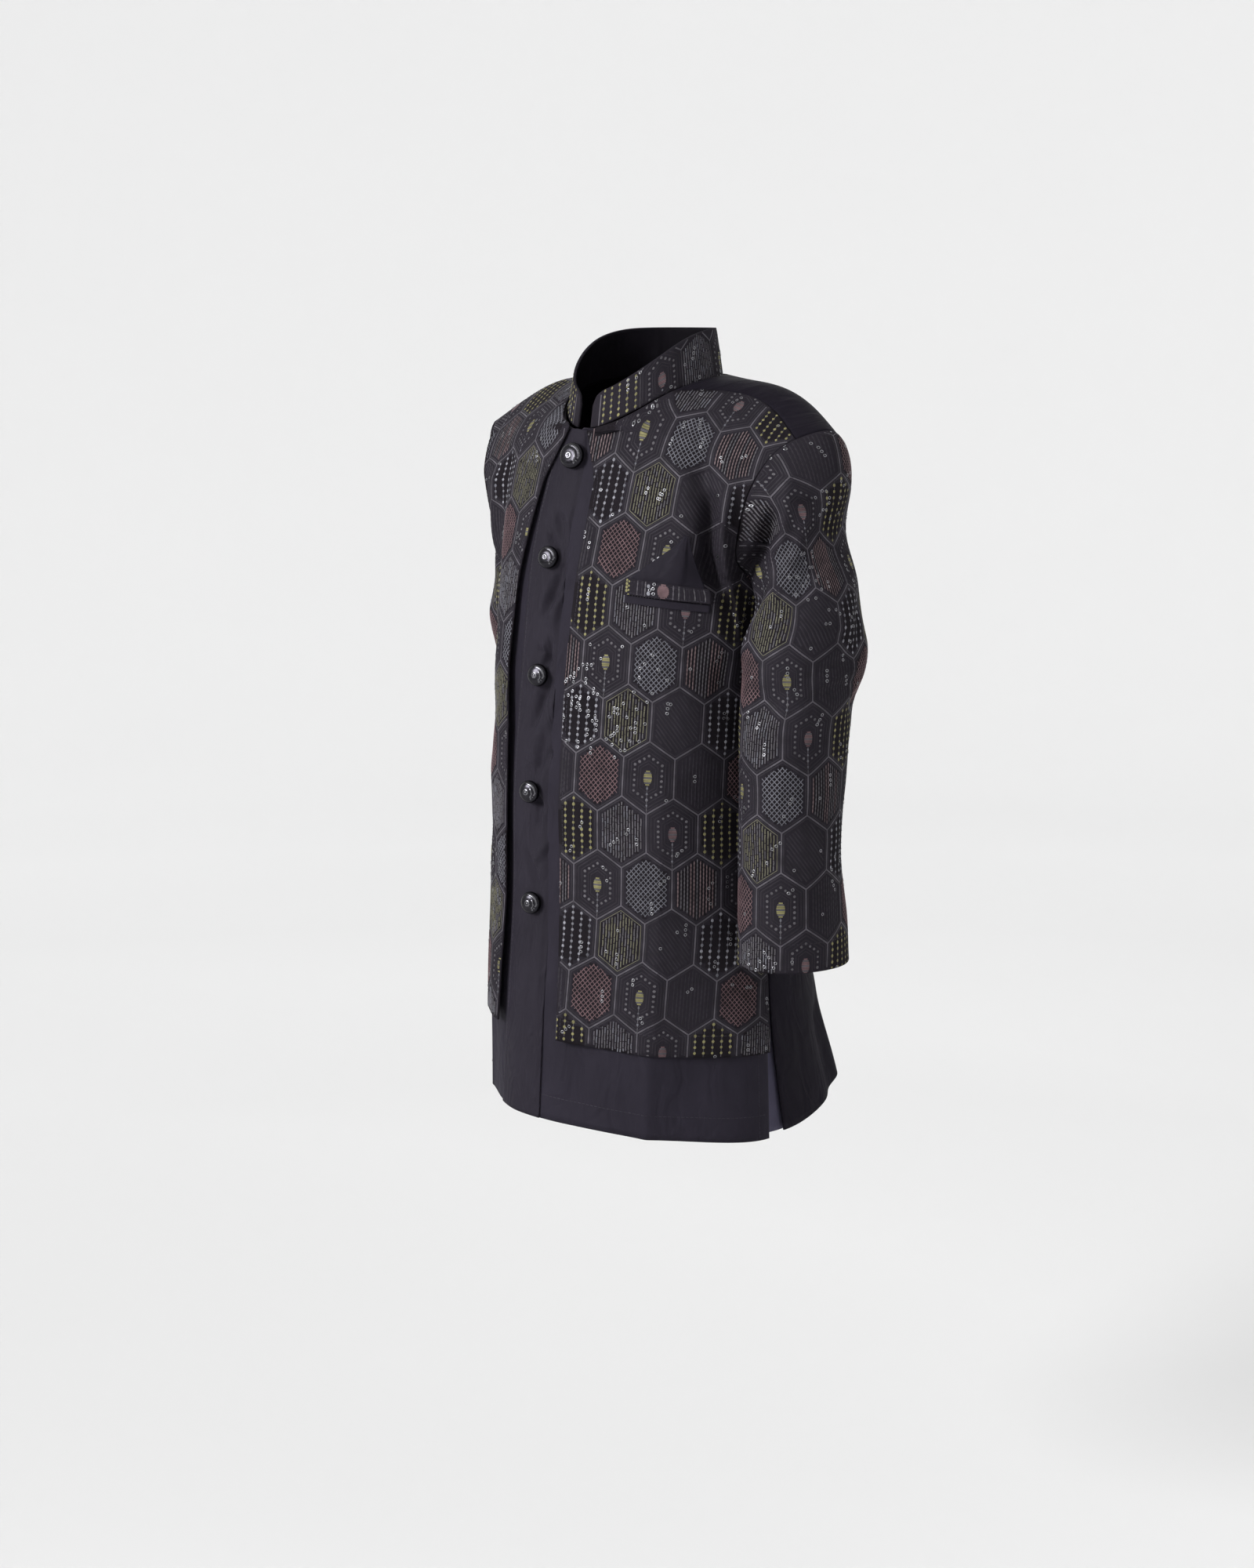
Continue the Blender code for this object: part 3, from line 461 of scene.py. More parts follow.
def crease_field(grid, side, folds, across=(1.0, 1.0, 1.0)):
    """Sum of soft folds over a grid. Across says how much each direction counts in the distance."""
    total = np.zeros(grid.shape[:2])
    grid = grid * np.array(across)
    for only, width, height, *run in folds:
        if only not in (0, side):
            continue
        points = [np.array((side * p[0], p[1], p[2])) * np.array(across) for p in run]
        near = np.full(grid.shape[:2], 1e9)
        place = np.zeros(grid.shape[:2])
        whole = sum(np.linalg.norm(b - a) for a, b in zip(points, points[1:]))
        done = 0.0
        for a, b in zip(points, points[1:]):
            step = b - a
            length = np.linalg.norm(step)
            share = np.clip(((grid - a) @ step) / length**2, 0, 1)
            away = np.linalg.norm(grid - a - share[..., None] * step, axis=2)
            closer = away < near
            near = np.where(closer, away, near)
            place = np.where(closer, (done + share * length) / whole, place)
            done += length
        taper = np.sin(math.pi * np.clip(TAPER_START + TAPER_RUN * place, 0, 1)) ** TAPER_POWER
        total += height * taper * np.exp(-((near / width) ** 2))
    return total


# A wider face of a closed panel is the one that joins the two ends of its chart
WIDEST_QUAD = 0.03


class Panel:
    """A grid of points with its outward normals and its chart on the flat cloth."""

    def __init__(self, name, grid, chart, closed=False, flip=False):
        self.name = name
        self.grid = grid
        self.chart = chart
        self.closed = closed
        self.flip = flip
        self.normals = grid_normals(grid, closed, flip)

    def push(self, height):
        self.shift(height, self.normals)

    def shift(self, height, way):
        self.grid = self.grid + np.array(way) * height[..., None]
        self.normals = grid_normals(self.grid, self.closed, self.flip)

    def faces(self):
        rows, columns = self.grid.shape[:2]
        last = columns if self.closed else columns - 1
        r, c = np.meshgrid(np.arange(rows - 1), np.arange(last), indexing="ij")
        after = (c + 1) % columns
        low, high = r * columns, (r + 1) * columns
        quads = np.stack([low + c, low + after, high + after, high + c], 2).reshape(-1, 4)
        return quads[:, ::-1] if self.flip else quads

    def area(self):
        p = self.grid.reshape(-1, 3)
        q = p[self.faces()]
        one = np.linalg.norm(np.cross(q[:, 1] - q[:, 0], q[:, 2] - q[:, 0]), axis=1)
        two = np.linalg.norm(np.cross(q[:, 2] - q[:, 0], q[:, 3] - q[:, 0]), axis=1)
        return float((one.sum() + two.sum()) / 2.0)

    def lay(self, places, lifts):
        """World points for flat places (n x 2), lifted off the cloth; off the panel they are nan."""
        if not hasattr(self, "tree"):
            self.prepare()
        out = np.full((len(places), 3), np.nan)
        for i, (x, y) in enumerate(places):
            hit = self.tree.ray_cast((x, y, 1.0), (0.0, 0.0, -1.0))
            if hit[0] is None:
                continue
            a, b, c = self.corners[hit[2]]
            (ax, ay), (bx, by), (cx, cy) = self.flat[a], self.flat[b], self.flat[c]
            whole = (bx - ax) * (cy - ay) - (cx - ax) * (by - ay)
            if abs(whole) < 1e-14:
                continue
            v = ((x - ax) * (cy - ay) - (cx - ax) * (y - ay)) / whole
            w = ((bx - ax) * (y - ay) - (x - ax) * (by - ay)) / whole
            u = 1.0 - v - w
            out[i] = u * self.points[a] + v * self.points[b] + w * self.points[c]
            out[i] += (u * self.outward[a] + v * self.outward[b] + w * self.outward[c]) * lifts[i]
        return out

    def prepare(self):
        quads = self.faces()
        flat = self.chart.reshape(-1, 2)
        if self.closed:
            across = flat[quads][:, :, 0]
            quads = quads[across.max(1) - across.min(1) < WIDEST_QUAD]
        self.corners = np.concatenate([quads[:, [0, 1, 2]], quads[:, [0, 2, 3]]])
        self.flat = flat
        self.points = self.grid.reshape(-1, 3)
        self.outward = self.normals.reshape(-1, 3)
        raised = [(float(x), float(y), 0.0) for x, y in flat]
        self.tree = BVHTree.FromPolygons(raised, self.corners.tolist())


GRAIN_STEP = 0.1
GRAIN_ROWS = 126
CHART_ZERO_HEIGHT = -0.325


class Grain:
    """Chart of the front and shoulder, measured along rows from the turn and up the turn."""

    def __init__(self, side):
        self.side = side
        self.kept = {}
        self.rows = [i * GRAIN_STEP for i in range(GRAIN_ROWS)]
        self.place = []
        height = 0.0
        before = None
        neck_turn = form_point(FRONT_NECK_ROW, 0.5, side)
        neck_across = u_length(FRONT_NECK_ROW, 0.0, 0.5, side)
        for row in self.rows:
            turn = form_point(row, 0.5, side)
            if before is not None:
                step = turn - before
                height += math.sqrt(step.y**2 + step.z**2)
            across = neck_across + abs(turn.x) - abs(neck_turn.x)
            if row <= FRONT_NECK_ROW:
                across = u_length(row, 0.0, 0.5, side)
            self.place.append((across, height))
            before = turn
        off = [abs(form_point(row, 0.5, side).z - CHART_ZERO_HEIGHT) for row in self.rows]
        self.zero = self.place[off.index(min(off))][1]

    def line(self, row):
        """The turn's place in space and in the chart at a row, and the way up the turn."""
        if row not in self.kept:
            i = min(len(self.rows) - 2, int(row / GRAIN_STEP))
            t = row / GRAIN_STEP - i
            across = blend(self.place[i][0], self.place[i + 1][0], t)
            height = blend(self.place[i][1], self.place[i + 1][1], t) - self.zero
            turn = form_point(row, 0.5, self.side)
            ahead = form_point(row + 0.05, 0.5, self.side) - form_point(max(0.0, row - 0.05), 0.5, self.side)
            self.kept[row] = (across, height, turn, Vector((0.0, ahead.y, ahead.z)).normalized())
        return self.kept[row]

    def __call__(self, row, u):
        across, height, turn, grain = self.line(row)
        rise = (form_point(row, u, self.side) - turn).dot(grain)
        along_row = u_length(row, 0.5, u, self.side)
        level = math.copysign(math.sqrt(max(0.0, along_row**2 - rise**2)), u - 0.5)
        return (self.side * (across + level), height + rise)


def u_length(row, u0, u1, side):
    return distance_table(row, side, u0, u1, 12)[-1][0]


def spaced(low, high, step):
    count = max(1, int(round((high - low) / step)))
    return [blend(low, high, i / count) for i in range(count + 1)]


def front_rows(first):
    return spaced(first, FRONT_NECK_ROW, ROW_STEP) + spaced(FRONT_NECK_ROW, SHOULDER_ROW, SHOULDER_STEP)[1:]


def panel_of(name, points, chart, columns, times=(REFINE, REFINE), flip=False):
    """Panel from its points and their places in the chart, both listed row by row."""
    grid = np.array([tuple(p) for p in points]).reshape(-1, columns, 3)
    flat = np.array(chart).reshape(-1, columns, 2)
    return Panel(name, refine(grid, *times), refine(flat, *times), flip=flip)


def row_shares(first, last, columns):
    """The u of a row's points, a little closer together at the seam."""
    return [blend(first, last, (j / (columns - 1)) ** 0.9) for j in range(columns)]


def front_panel(name, side, first_row, edge_of, lift_of, columns, times):
    """Panel of a front from its hem row to the shoulder seam, with its chart."""
    grain = Grain(side)
    points, chart = [], []
    for base_row in front_rows(first_row):
        row0 = front_row(base_row, 0.0, side)
        edge = edge_of(row0)
        for u in row_shares(edge, u_before_seam(row0, side), columns):
            row = front_row(base_row, u, side)
            points.append(on_form(row, u, side, lift_of(row, u, edge)))
            chart.append(grain(row, u))
    return panel_of(name + WORDS[side], points, chart, columns, times, side < 0)


def jacket_panel(side):
    def edge_of(row):
        return opening_u(row, side)

    def lift_of(row, u, edge):
        return jacket_lift(row, u, side, edge)

    return front_panel("jacket_front_", side, JACKET_HEM_ROW, edge_of, lift_of, 34, (REFINE, REFINE))


def kurta_panel(side):
    def edge_of(row):
        return u_at(row, side, KURTA_NECK_SHORT if row > FRONT_NECK_ROW else KURTA_CENTRE_GAP)

    def lift_of(row, u, edge):
        return 0.0

    return front_panel("kurta_front_", side, 0.0, edge_of, lift_of, 36, (2, REFINE))


def step_sums(grid, axis):
    """Distance along an axis of a grid from its first points."""
    sums = np.cumsum(np.linalg.norm(np.diff(grid, axis=axis), axis=2), axis=axis)
    return np.pad(sums, ((1, 0), (0, 0)) if axis == 0 else ((0, 0), (1, 0)))


def back_panel(side):
    """Half of the back, from the hem up, whose first column is the centre line."""
    grid = []
    for base_row in [LAST_ROW - row for row in reversed(front_rows(0.0))]:
        row0 = back_row(base_row, 0.0, side)
        first = 0.0 if base_row >= BACK_NECK_ROW else u_at(row0, side, NECK_SHORT)
        shares = row_shares(first, u_before_seam(row0, side), 30)
        grid.append([tuple(on_form(back_row(base_row, u, side), u, side, JACKET_LIFT)) for u in shares])
    grid = np.array(grid)
    chart = np.stack([side * step_sums(grid, 1), -step_sums(grid, 0)], 2)
    return Panel("back", refine(grid, 2, 2), refine(chart, 2, 2), flip=side < 0)


# The sleeves: where the right arm's backward reach sets in and ends, the u just inside the seam and at it,
# and how far a sleeve stands out under the armpit
REACH_FROM = -0.06
REACH_TO = 0.26
NEAR_SEAM = 0.93
AT_SEAM = 0.999
UNDER_ARM_OUT = 0.10


def arm_ring(side, t):
    x, y, z, across, fore = along(SLEEVE_RINGS, t)
    if side < 0:
        y += RIGHT_ARM_BACK * smooth_step(-z, REACH_FROM, REACH_TO)
    return Vector((side * x, y, z)), across, fore


def ring_point(side, t, share):
    centre, across, fore = arm_ring(side, t)
    angle = 2.0 * math.pi * share
    return centre + Vector((-side * across * math.cos(angle), -fore * math.sin(angle), 0.0))


def armhole_rows(side, lines):
    """Armhole rows at equal shares of the loop, which starts at the armpit and goes up the front."""
    rows = [FRONT_PIT_ROW + 10.0 * i / 200 for i in range(201)]
    points = [side_point(row, side) for row in rows]
    marks = [0.0]
    for a, b in zip(points, points[1:]):
        marks.append(marks[-1] + (b - a).length)
    shares = [i / lines for i in range(lines)]
    return [(float(np.interp(s * marks[-1], marks, rows)), s) for s in shares]


def sleeve_start(row, share, side):
    seam = side_point(row, side)
    near = form_point(row, NEAR_SEAM, side)
    outward = (form_point(row, 1.0, side) - near).normalized()
    clear = outward * SLEEVE_SEAM_GAP
    if side < 0:
        outward = (outward + Vector((0.0, RIGHT_ARM_TURN, 0.0))).normalized()
    top = math.sin(math.pi * share)
    down = Vector((side * UNDER_ARM_OUT, 0.0, -1.0)).normalized()
    way = blend(down, outward, smooth_step(top, 0.15, 0.6)).normalized()
    normal = form_normal(row, AT_SEAM, side)
    side_normal = Vector((side, 0.0, 0.0))
    lift = blend(side_normal, normal, smooth_step(top, 0.1, 0.5)).normalized()
    return seam + lift * (JACKET_LIFT + SEAM_GAP) + clear, way, top


def plain_sleeve_point(row, share, side, t):
    if t >= 0.0:
        return ring_point(side, t, share)
    start, way, top = sleeve_start(row, share, side)
    first = ring_point(side, 0.0, share)
    second = ring_point(side, 0.25, share)
    reach = (first - start).length
    out = way * blend(reach, CAP_FULLNESS[side] * 1.6, smooth_step(top, 0.2, 0.8))
    down = (second - first).normalized() * blend(reach, CAP_DROP, smooth_step(top, 0.2, 0.8))
    return hermite(start, first, out, down, t + 1.0)


ARM_AXIS = (0.162, -0.015)


def sleeve_point(row, share, side, t):
    p = plain_sleeve_point(row, share, side, t)
    axis = Vector((side * ARM_AXIS[0], ARM_AXIS[1] if side > 0 else ARM_AXIS[1] + RIGHT_ARM_BACK, p.z))
    height = fold_height(p, side, SLEEVE_FOLDS) * smooth_step(t, -1.0, -0.8)
    return p + (p - axis).normalized() * height


FRONT_OF_ARM = 0.25
SLEEVE_LINES = 52
CAP_STEP = 0.055
SLEEVE_STEP = 0.2


def run_marks(points):
    """Distance of each point of a run from its first point."""
    return np.concatenate([[0.0], np.cumsum(np.linalg.norm(np.diff(points, axis=0), axis=1))])


def sleeve_panel(side):
    lines = armhole_rows(side, SLEEVE_LINES)
    stations = spaced(-1.0, 0.0, CAP_STEP) + spaced(0.0, len(SLEEVE_RINGS) - 1.0, SLEEVE_STEP)[1:]
    grid = np.array([[tuple(sleeve_point(row, share, side, t)) for row, share in lines] for t in stations])
    zero = next(i for i, t in enumerate(stations) if t >= 0.0)
    shares = np.array([share for _, share in lines])
    chart = np.zeros(grid.shape[:2] + (2,))
    for i in range(len(stations)):
        marks = run_marks(grid[max(i, zero)])
        chart[i, :, 0] = side * (marks - np.interp(FRONT_OF_ARM, shares, marks))
        if i >= zero:
            chart[i, :, 1] = grid[i, :, 2]
    for i in range(zero - 1, -1, -1):
        chart[i, :, 1] = chart[i + 1, :, 1] + np.linalg.norm(grid[i + 1] - grid[i], axis=1)
    fine = refine(grid, closed=True)
    return Panel("sleeve_" + WORDS[side], fine, refine_chart(chart), closed=True, flip=side > 0)


def refine_chart(chart):
    """A closed panel's chart jumps where it closes, so it is refined open."""
    step = chart[:, -1:] - chart[:, -2:-1]
    opened = np.concatenate([chart, chart[:, -1:] + step], axis=1)
    return refine(opened)[:, :-1]


# Folds that the photograph shows, finer than the solids'
# Those that cross the left armhole's seam push front and sleeve the same way
ARM_PUSH = (0.455, -0.890, 0.0)
ARM_FOLDS = fold_table(
    (1, 5.4, 8.5, (119, -46, -80), (116, -48, -106), (117, -44, -129), (116, -35, -146)),
    (1, 4, 5, (116, -34, -150), (117, -30, -166), (117, -28, -184)),
    (1, 5.6, -13.5, (103, -47, -82), (101, -50, -120), (105, -48, -142), (111, -40, -158)),
    (1, 8, -4, (88, -43, -46), (96, -47, -70), (102, -49, -96)),
    (1, 6.2, -16, (150, -34, -92), (141, -35, -115), (123, -28, -136)),
    (1, 6.5, -5.5, (141, -40, -145), (138, -46, -162), (136, -52, -178)),
    (1, 6, 5, (160, -30, -70), (158, -34, -105), (145, -36, -140)),
    (1, 7.5, -4.8, (168, -26, -79), (180, -13, -87)),
    (1, 7, 3.8, (178, -22, -94), (171, -34, -120), (159, -44, -152)),
    (1, 2.6, -2.2, (112, -46, -128), (118, -40, -132), (124, -32, -130)),
    (1, 2.6, -2.2, (110, -44, -138), (117, -37, -141), (122, -31, -139)),
)
FINE_JACKET_FOLDS = fold_table(
    (1, 8.5, -1.8, (112, -38, -170), (110, -42, -205), (108, -45, -235)),
    (0, 12, -1.3, (72, -88, -230), (92, -74, -262), (104, -60, -300)),
    (0, 13, 1, (60, -90, -300), (95, -70, -292)), (0, 14, -1.1, (50, -94, -330), (100, -64, -345)),
    (0, 13, -1, (60, -78, -180), (95, -60, -200)), (0, 16, 1.2, (60, -98, -420), (64, -96, -480)),
    (-1, 6, -2, (106, -48, -85), (108, -47, -120), (111, -43, -150)),
    (-1, 7.5, 1.8, (112, -40, -150), (106, -49, -175), (98, -57, -190)),
    (-1, 14, -1.6, (40, -94, -235), (60, -88, -275), (62, -92, -330)),
)
FINE_KURTA_FOLDS = fold_table(
    (0, 15, 1, (50, -100, -480), (52, -102, -545)), (0, 12, -1.4, (105, -66, -480), (108, -64, -545)),
    (1, 11, -0.9, (30, -108, -500), (28, -110, -545)),
)
# Puckers of the placket between its buttons, measured as seen from the front
FACE_ON = (1.0, 0.0, 1.0)
PLACKET_FOLDS = fold_table(
    (1, 3.8, -5.3, (-8, -86, -136), (-22, -90, -170)), (1, 4.2, 3.2, (-1, -90, -134), (-13, -94, -176)),
    (1, 4, -3.7, (-19, -76, -94), (-11, -82, -116)), (1, 3.4, -4.4, (-13, -93, -190), (-18, -97, -209)),
    (1, 3.7, -4.9, (-11, -96, -219), (-18, -97, -232), (-26, -99, -255)),
    (1, 4.2, 2.9, (-3, -99, -218), (-10, -100, -252)), (1, 4.2, -4.1, (-13, -100, -258), (-20, -102, -290)),
    (1, 4.6, -3.6, (-17, -103, -306), (-17, -103, -330)),
    (1, 3.8, -3.6, (-28, -103, -352), (-16, -103, -377)), (1, 14, 2.1, (0, -103, -400), (2, -104, -480)),
    (1, 3, -2.7, (-26, -80, -108), (-14, -84, -122)), (1, 2.8, -2.6, (-4, -88, -150), (-16, -92, -162)),
    (1, 2.8, -3.1, (-24, -94, -196), (-10, -97, -206)), (1, 3, -2.7, (-6, -100, -270), (-16, -100, -284)),
    (1, 2.8, -3.1, (-26, -102, -300), (-12, -103, -314)), (1, 3, 2.4, (-8, -103, -340), (-22, -103, -356)),
)
FINE_BACK_FOLDS = fold_table(
    (0, 15, 2.2, (30, 94, -150), (34, 92, -230), (30, 86, -300)),
    (0, 12, -2, (60, 88, -170), (64, 82, -260)),
    (0, 17, -2.6, (20, 88, -320), (24, 100, -420), (22, 124, -520)),
    (0, 15, 2.4, (66, 90, -360), (70, 104, -450), (74, 120, -530)),
    (0, 10, 2, (110, 40, -180), (98, 66, -160), (80, 84, -150)),
    (0, 9, -1.8, (114, 30, -200), (100, 62, -196), (86, 76, -190)),
    (1, 12, 1.8, (106, 52, -340), (108, 50, -440)), (-1, 13, -2, (112, 36, -320), (110, 46, -430)),
)
FINE_SLEEVE_FOLDS = fold_table(
    (1, 8.5, -2.2, (178, -22, -100), (178, -30, -135), (170, -44, -170)),
    (1, 7, -2.6, (188, 18, -150), (200, 0, -182), (204, -18, -190)),
    (1, 7, -1.8, (204, -18, -190), (196, -38, -203), (180, -55, -214)),
    (1, 5.5, -2.4, (202, 4, -208), (198, -30, -214), (184, -52, -226)),
    (1, 6, 2, (200, -5, -197), (196, -40, -207)),
    (1, 8, -1.8, (155, -63, -205), (162, -64, -230), (176, -60, -250)),
    (1, 10, 1.4, (140, -60, -250), (160, -64, -270), (185, -52, -276)),
    (1, 12, -1.6, (198, -12, -300), (190, -48, -312)), (1, 11, -1.2, (145, -62, -330), (170, -66, -345)),
    (-1, 9, -4.2, (160, 16, -90), (152, 12, -130), (148, 20, -180)),
    (-1, 9, 3, (172, 30, -100), (170, 24, -150), (165, 22, -200)),
    (-1, 8, -2.6, (188, 90, -150), (200, 70, -182), (198, 45, -200)),
    (-1, 6.5, -2.4, (200, 80, -208), (196, 45, -220), (170, 22, -230)),
    (-1, 9, -3, (150, 106, -140), (158, 108, -190), (162, 112, -230)),
    (-1, 12, -1.6, (196, 60, -300), (186, 28, -315)),
    (1, 8.5, -3.6, (166, 36, -90), (158, 40, -130), (150, 36, -175)),
    (1, 9, 2.4, (176, 34, -110), (174, 36, -150), (168, 36, -200)),
)


class Nodes:
    """The nodes of a new material. A named value goes to a node's setting, or sets or feeds its socket."""

    def __init__(self, name, **looks):
        self.material = bpy.data.materials.new(name)
        self.material.use_nodes = True
        self.tree = self.material.node_tree
        self.shader(**looks)

    def put(self, socket, value):
        if isinstance(value, bpy.types.NodeSocket):
            self.tree.links.new(value, socket)
        else:
            socket.default_value = value

    def fill(self, node, named):
        for key, value in named.items():
            if hasattr(node, key):
                setattr(node, key, value)
            else:
                self.put(node.inputs[key.replace("_", " ")], value)

    def shader(self, **named):
        self.fill(self.tree.nodes["Principled BSDF"], named)
        return self.material

    def add(self, kind, output, *inputs, **named):
        """A new node, of which the named output comes back."""
        node = self.tree.nodes.new("ShaderNode" + kind)
        self.fill(node, named)
        for socket, value in zip(node.inputs, inputs):
            self.put(socket, value)
        return node.outputs[output]

    def noise(self, where, scale, detail, **named):
        return self.add("TexNoise", "Fac", Vector=where, Scale=scale, Detail=detail, **named)

    def wave(self, where, way, scale, distortion, detail):
        wave = {"Scale": scale, "Distortion": distortion, "Detail": detail}
        return self.add("TexWave", "Fac", Vector=where, bands_direction=way, **wave)

    def spread(self, value, low, high):
        return self.add("MapRange", "Result", Value=value, To_Min=low, To_Max=high)

    def times(self, a, b, factor):
        """One colour multiplied by another, as far as the factor says."""
        kind = {"data_type": "RGBA", "blend_type": "MULTIPLY"}
        return self.add("Mix", "Result", **kind, Factor=factor, A=a, B=b)

    def ramp(self, value, stops):
        """A colour ramp from its two end stops and then the others, each a place and a colour."""
        colour = self.add("ValToRGB", "Color", value)
        elements = colour.node.color_ramp.elements
        for i, (place, shade) in enumerate(stops):
            stop = elements[i] if i < 2 else elements.new(place)
            stop.position = place
            stop.color = (*shade, 1.0)
        return colour


def linear(red, green, blue):
    """Scene colour for a colour as it looks on a screen, 0 to 255."""
    out = []
    for value in (red, green, blue):
        value /= 255.0
        out.append(value / 12.92 if value <= 0.04045 else ((value + 0.055) / 1.055) ** 2.4)
    return tuple(out)


def scaled(colour, times):
    return tuple(min(1.0, c * times) for c in colour)


WAVE_TURN = 20.0
MOTTLE = 0.12
SLUB = 0.5
SLUB_SCALE = (1400.0, 90.0, 1.0)
CRUMPLE_SCALE = (62.0, 26.0, 1.0)
CRUMPLE_TURN = (0.0, 0.0, 0.45)


def cloth_material(name, colour, roughness, sheen=0.0, gloss=0.04, thread=0.0005, bump=0.25, crumple=0.0010):
    """Woven cloth from a map in metres: crossing threads, slubs and a faint change of shade."""
    nodes = Nodes(name, Roughness=roughness, Sheen_Weight=sheen, Sheen_Roughness=0.4, Specular_IOR_Level=gloss)
    nodes.shader(Sheen_Tint=(0.75, 0.75, 0.85, 1.0))
    where = nodes.add("UVMap", "UV", uv_map="cloth")
    turns = 2.0 * math.pi / WAVE_TURN / thread
    warp = nodes.wave(where, "X", turns, 0.6, 1.0)
    weft = nodes.wave(where, "Y", turns, 0.6, 1.0)
    slubs = nodes.noise(nodes.add("Mapping", "Vector", Vector=where, Scale=SLUB_SCALE), 1.0, 3.0)
    shade = nodes.noise(where, 18.0, 4.0)
    weave = nodes.add("Math", "Value", warp, weft, operation="MULTIPLY")
    uneven = nodes.add("Math", "Value", slubs, SLUB, operation="MULTIPLY")
    mix = nodes.add("Math", "Value", weave, uneven, operation="ADD")
    colour = linear(*colour)
    shades = nodes.ramp(shade, ((0.3, scaled(colour, 1.0 - MOTTLE)), (0.7, scaled(colour, 1.0 + MOTTLE))))
    press = nodes.add("Mapping", "Vector", Vector=where, Scale=CRUMPLE_SCALE, Rotation=CRUMPLE_TURN)
    rumple = nodes.noise(press, 1.0, 2.0, Distortion=0.8)
    soft = nodes.add("Bump", "Normal", Height=rumple, Strength=1.0, Distance=crumple)
    bumped = nodes.add("Bump", "Normal", Height=mix, Normal=soft, Strength=bump, Distance=0.0003)
    rough = nodes.spread(shade, roughness - 0.08, roughness + 0.08)
    return nodes.shader(Base_Color=nodes.times(shades, mix, 0.35), Roughness=rough, Normal=bumped)


def thread_material(name, colour):
    """Twisted embroidery thread, which shows a fine slanting grain and small changes of shade."""
    nodes = Nodes(name, Roughness=0.55, Specular_IOR_Level=0.15)
    colour = linear(*colour)
    where = nodes.add("TexCoord", "Object")
    grain = nodes.wave(where, "DIAGONAL", 450.0, 1.5, 2.0)
    shades = ((0.3, scaled(colour, 0.65)), (0.7, scaled(colour, 1.3)))
    bumped = nodes.add("Bump", "Normal", Height=grain, Strength=0.4, Distance=0.0002)
    return nodes.shader(Base_Color=nodes.ramp(nodes.noise(where, 120.0, 3.0), shades), Normal=bumped)


def metal_material(name, colour, roughness):
    """Metal with fine wear in its shade, its gloss and its surface."""
    nodes = Nodes(name, Metallic=0.95)
    wear = nodes.noise(nodes.add("TexCoord", "Object"), 700.0, 4.0)
    shades = nodes.ramp(wear, ((0.0, scaled(colour, 0.6)), (1.0, scaled(colour, 1.5))))
    rough = nodes.spread(wear, roughness - 0.06, roughness + 0.12)
    bumped = nodes.add("Bump", "Normal", Height=wear, Strength=0.2, Distance=0.0001)
    return nodes.shader(Base_Color=shades, Roughness=rough, Normal=bumped)


KURTA_SHADE = cloth_material("kurta_cloth", (41, 38, 47), 0.66, 0.02, 0.06, crumple=0.0022)
PLACKET_SHADE = cloth_material("placket_cloth", (40, 37, 45), 0.66, 0.02, 0.06, crumple=0.0040)
POCKET_SHADE = cloth_material("pocket_cloth", (37, 34, 42), 0.66, 0.02, 0.06)
# The back is the kurta's plain cloth, painted darker as shade on the side away from the light
BACK_PAINTED_SHADE = cloth_material("back_cloth", (27, 24, 32), 0.70, crumple=0.0030)
JACKET_SHADE = cloth_material("jacket_cloth", (41, 38, 44), 0.85, thread=0.0007, bump=0.5)
# Darker jacket cloth: painted shade for the shadow between the threads of the filled cells
THREAD_GAP_PAINTED_SHADE = cloth_material("jacket_deep_cloth", (32, 29, 33), 0.85, gloss=0.03, thread=0.0007, bump=0.5)
# The lining is a dark cloth, painted near black as the shade inside the garment
LINING_PAINTED_SHADE = cloth_material("lining_cloth", (16, 14, 19), 0.60)
# The facing's own colour is lilac, painted darker as shade under the slit
FACING_PAINTED_SHADE = cloth_material("facing_cloth", (78, 75, 92), 0.7, 0.02, 0.06)
THREAD_COLOURS = (
    ("lattice", (75, 72, 78)), ("grey", (79, 77, 81)), ("cool", (90, 90, 97)), ("white", (120, 120, 127)),
    ("yellow", (117, 113, 78)), ("olive", (88, 86, 73)), ("red", (92, 73, 76)), ("rose", (98, 84, 86)),
    ("dark", (36, 33, 39)),
)
THREADS = {name: thread_material("thread_" + name, colour) for name, colour in THREAD_COLOURS}
THREADS["sequin"] = metal_material("sequin_silver", (0.22, 0.22, 0.235), 0.26)
THREAD_NAMES = list(THREADS)
BUTTON_SHADE = metal_material("button_metal", (0.022, 0.021, 0.025), 0.20)
# Bright metal for the worn relief of the buttons and for their painted highlight
BUTTON_WEAR_AND_HIGHLIGHT = metal_material("button_raised", (0.13, 0.13, 0.14), 0.22)


def add_mesh(name, points, faces, materials, indices=None, chart=None, smooth=True):
    mesh = bpy.data.meshes.new(name)
    mesh.from_pydata([tuple(map(float, p)) for p in points], [], [tuple(map(int, f)) for f in faces])
    for material in materials:
        mesh.materials.append(material)
    if indices is not None:
        mesh.polygons.foreach_set("material_index", list(map(int, indices)))
    if chart is not None:
        layer = mesh.uv_layers.new(name="cloth")
        loops = np.zeros(len(mesh.loops), dtype=np.int32)
        mesh.loops.foreach_get("vertex_index", loops)
        layer.data.foreach_set("uv", np.asarray(chart, dtype=np.float32)[loops].ravel())
    if smooth:
        mesh.polygons.foreach_set("use_smooth", [True] * len(mesh.polygons))
    mesh.update()
    obj = bpy.data.objects.new(name, mesh)
    bpy.context.scene.collection.objects.link(obj)
    return obj


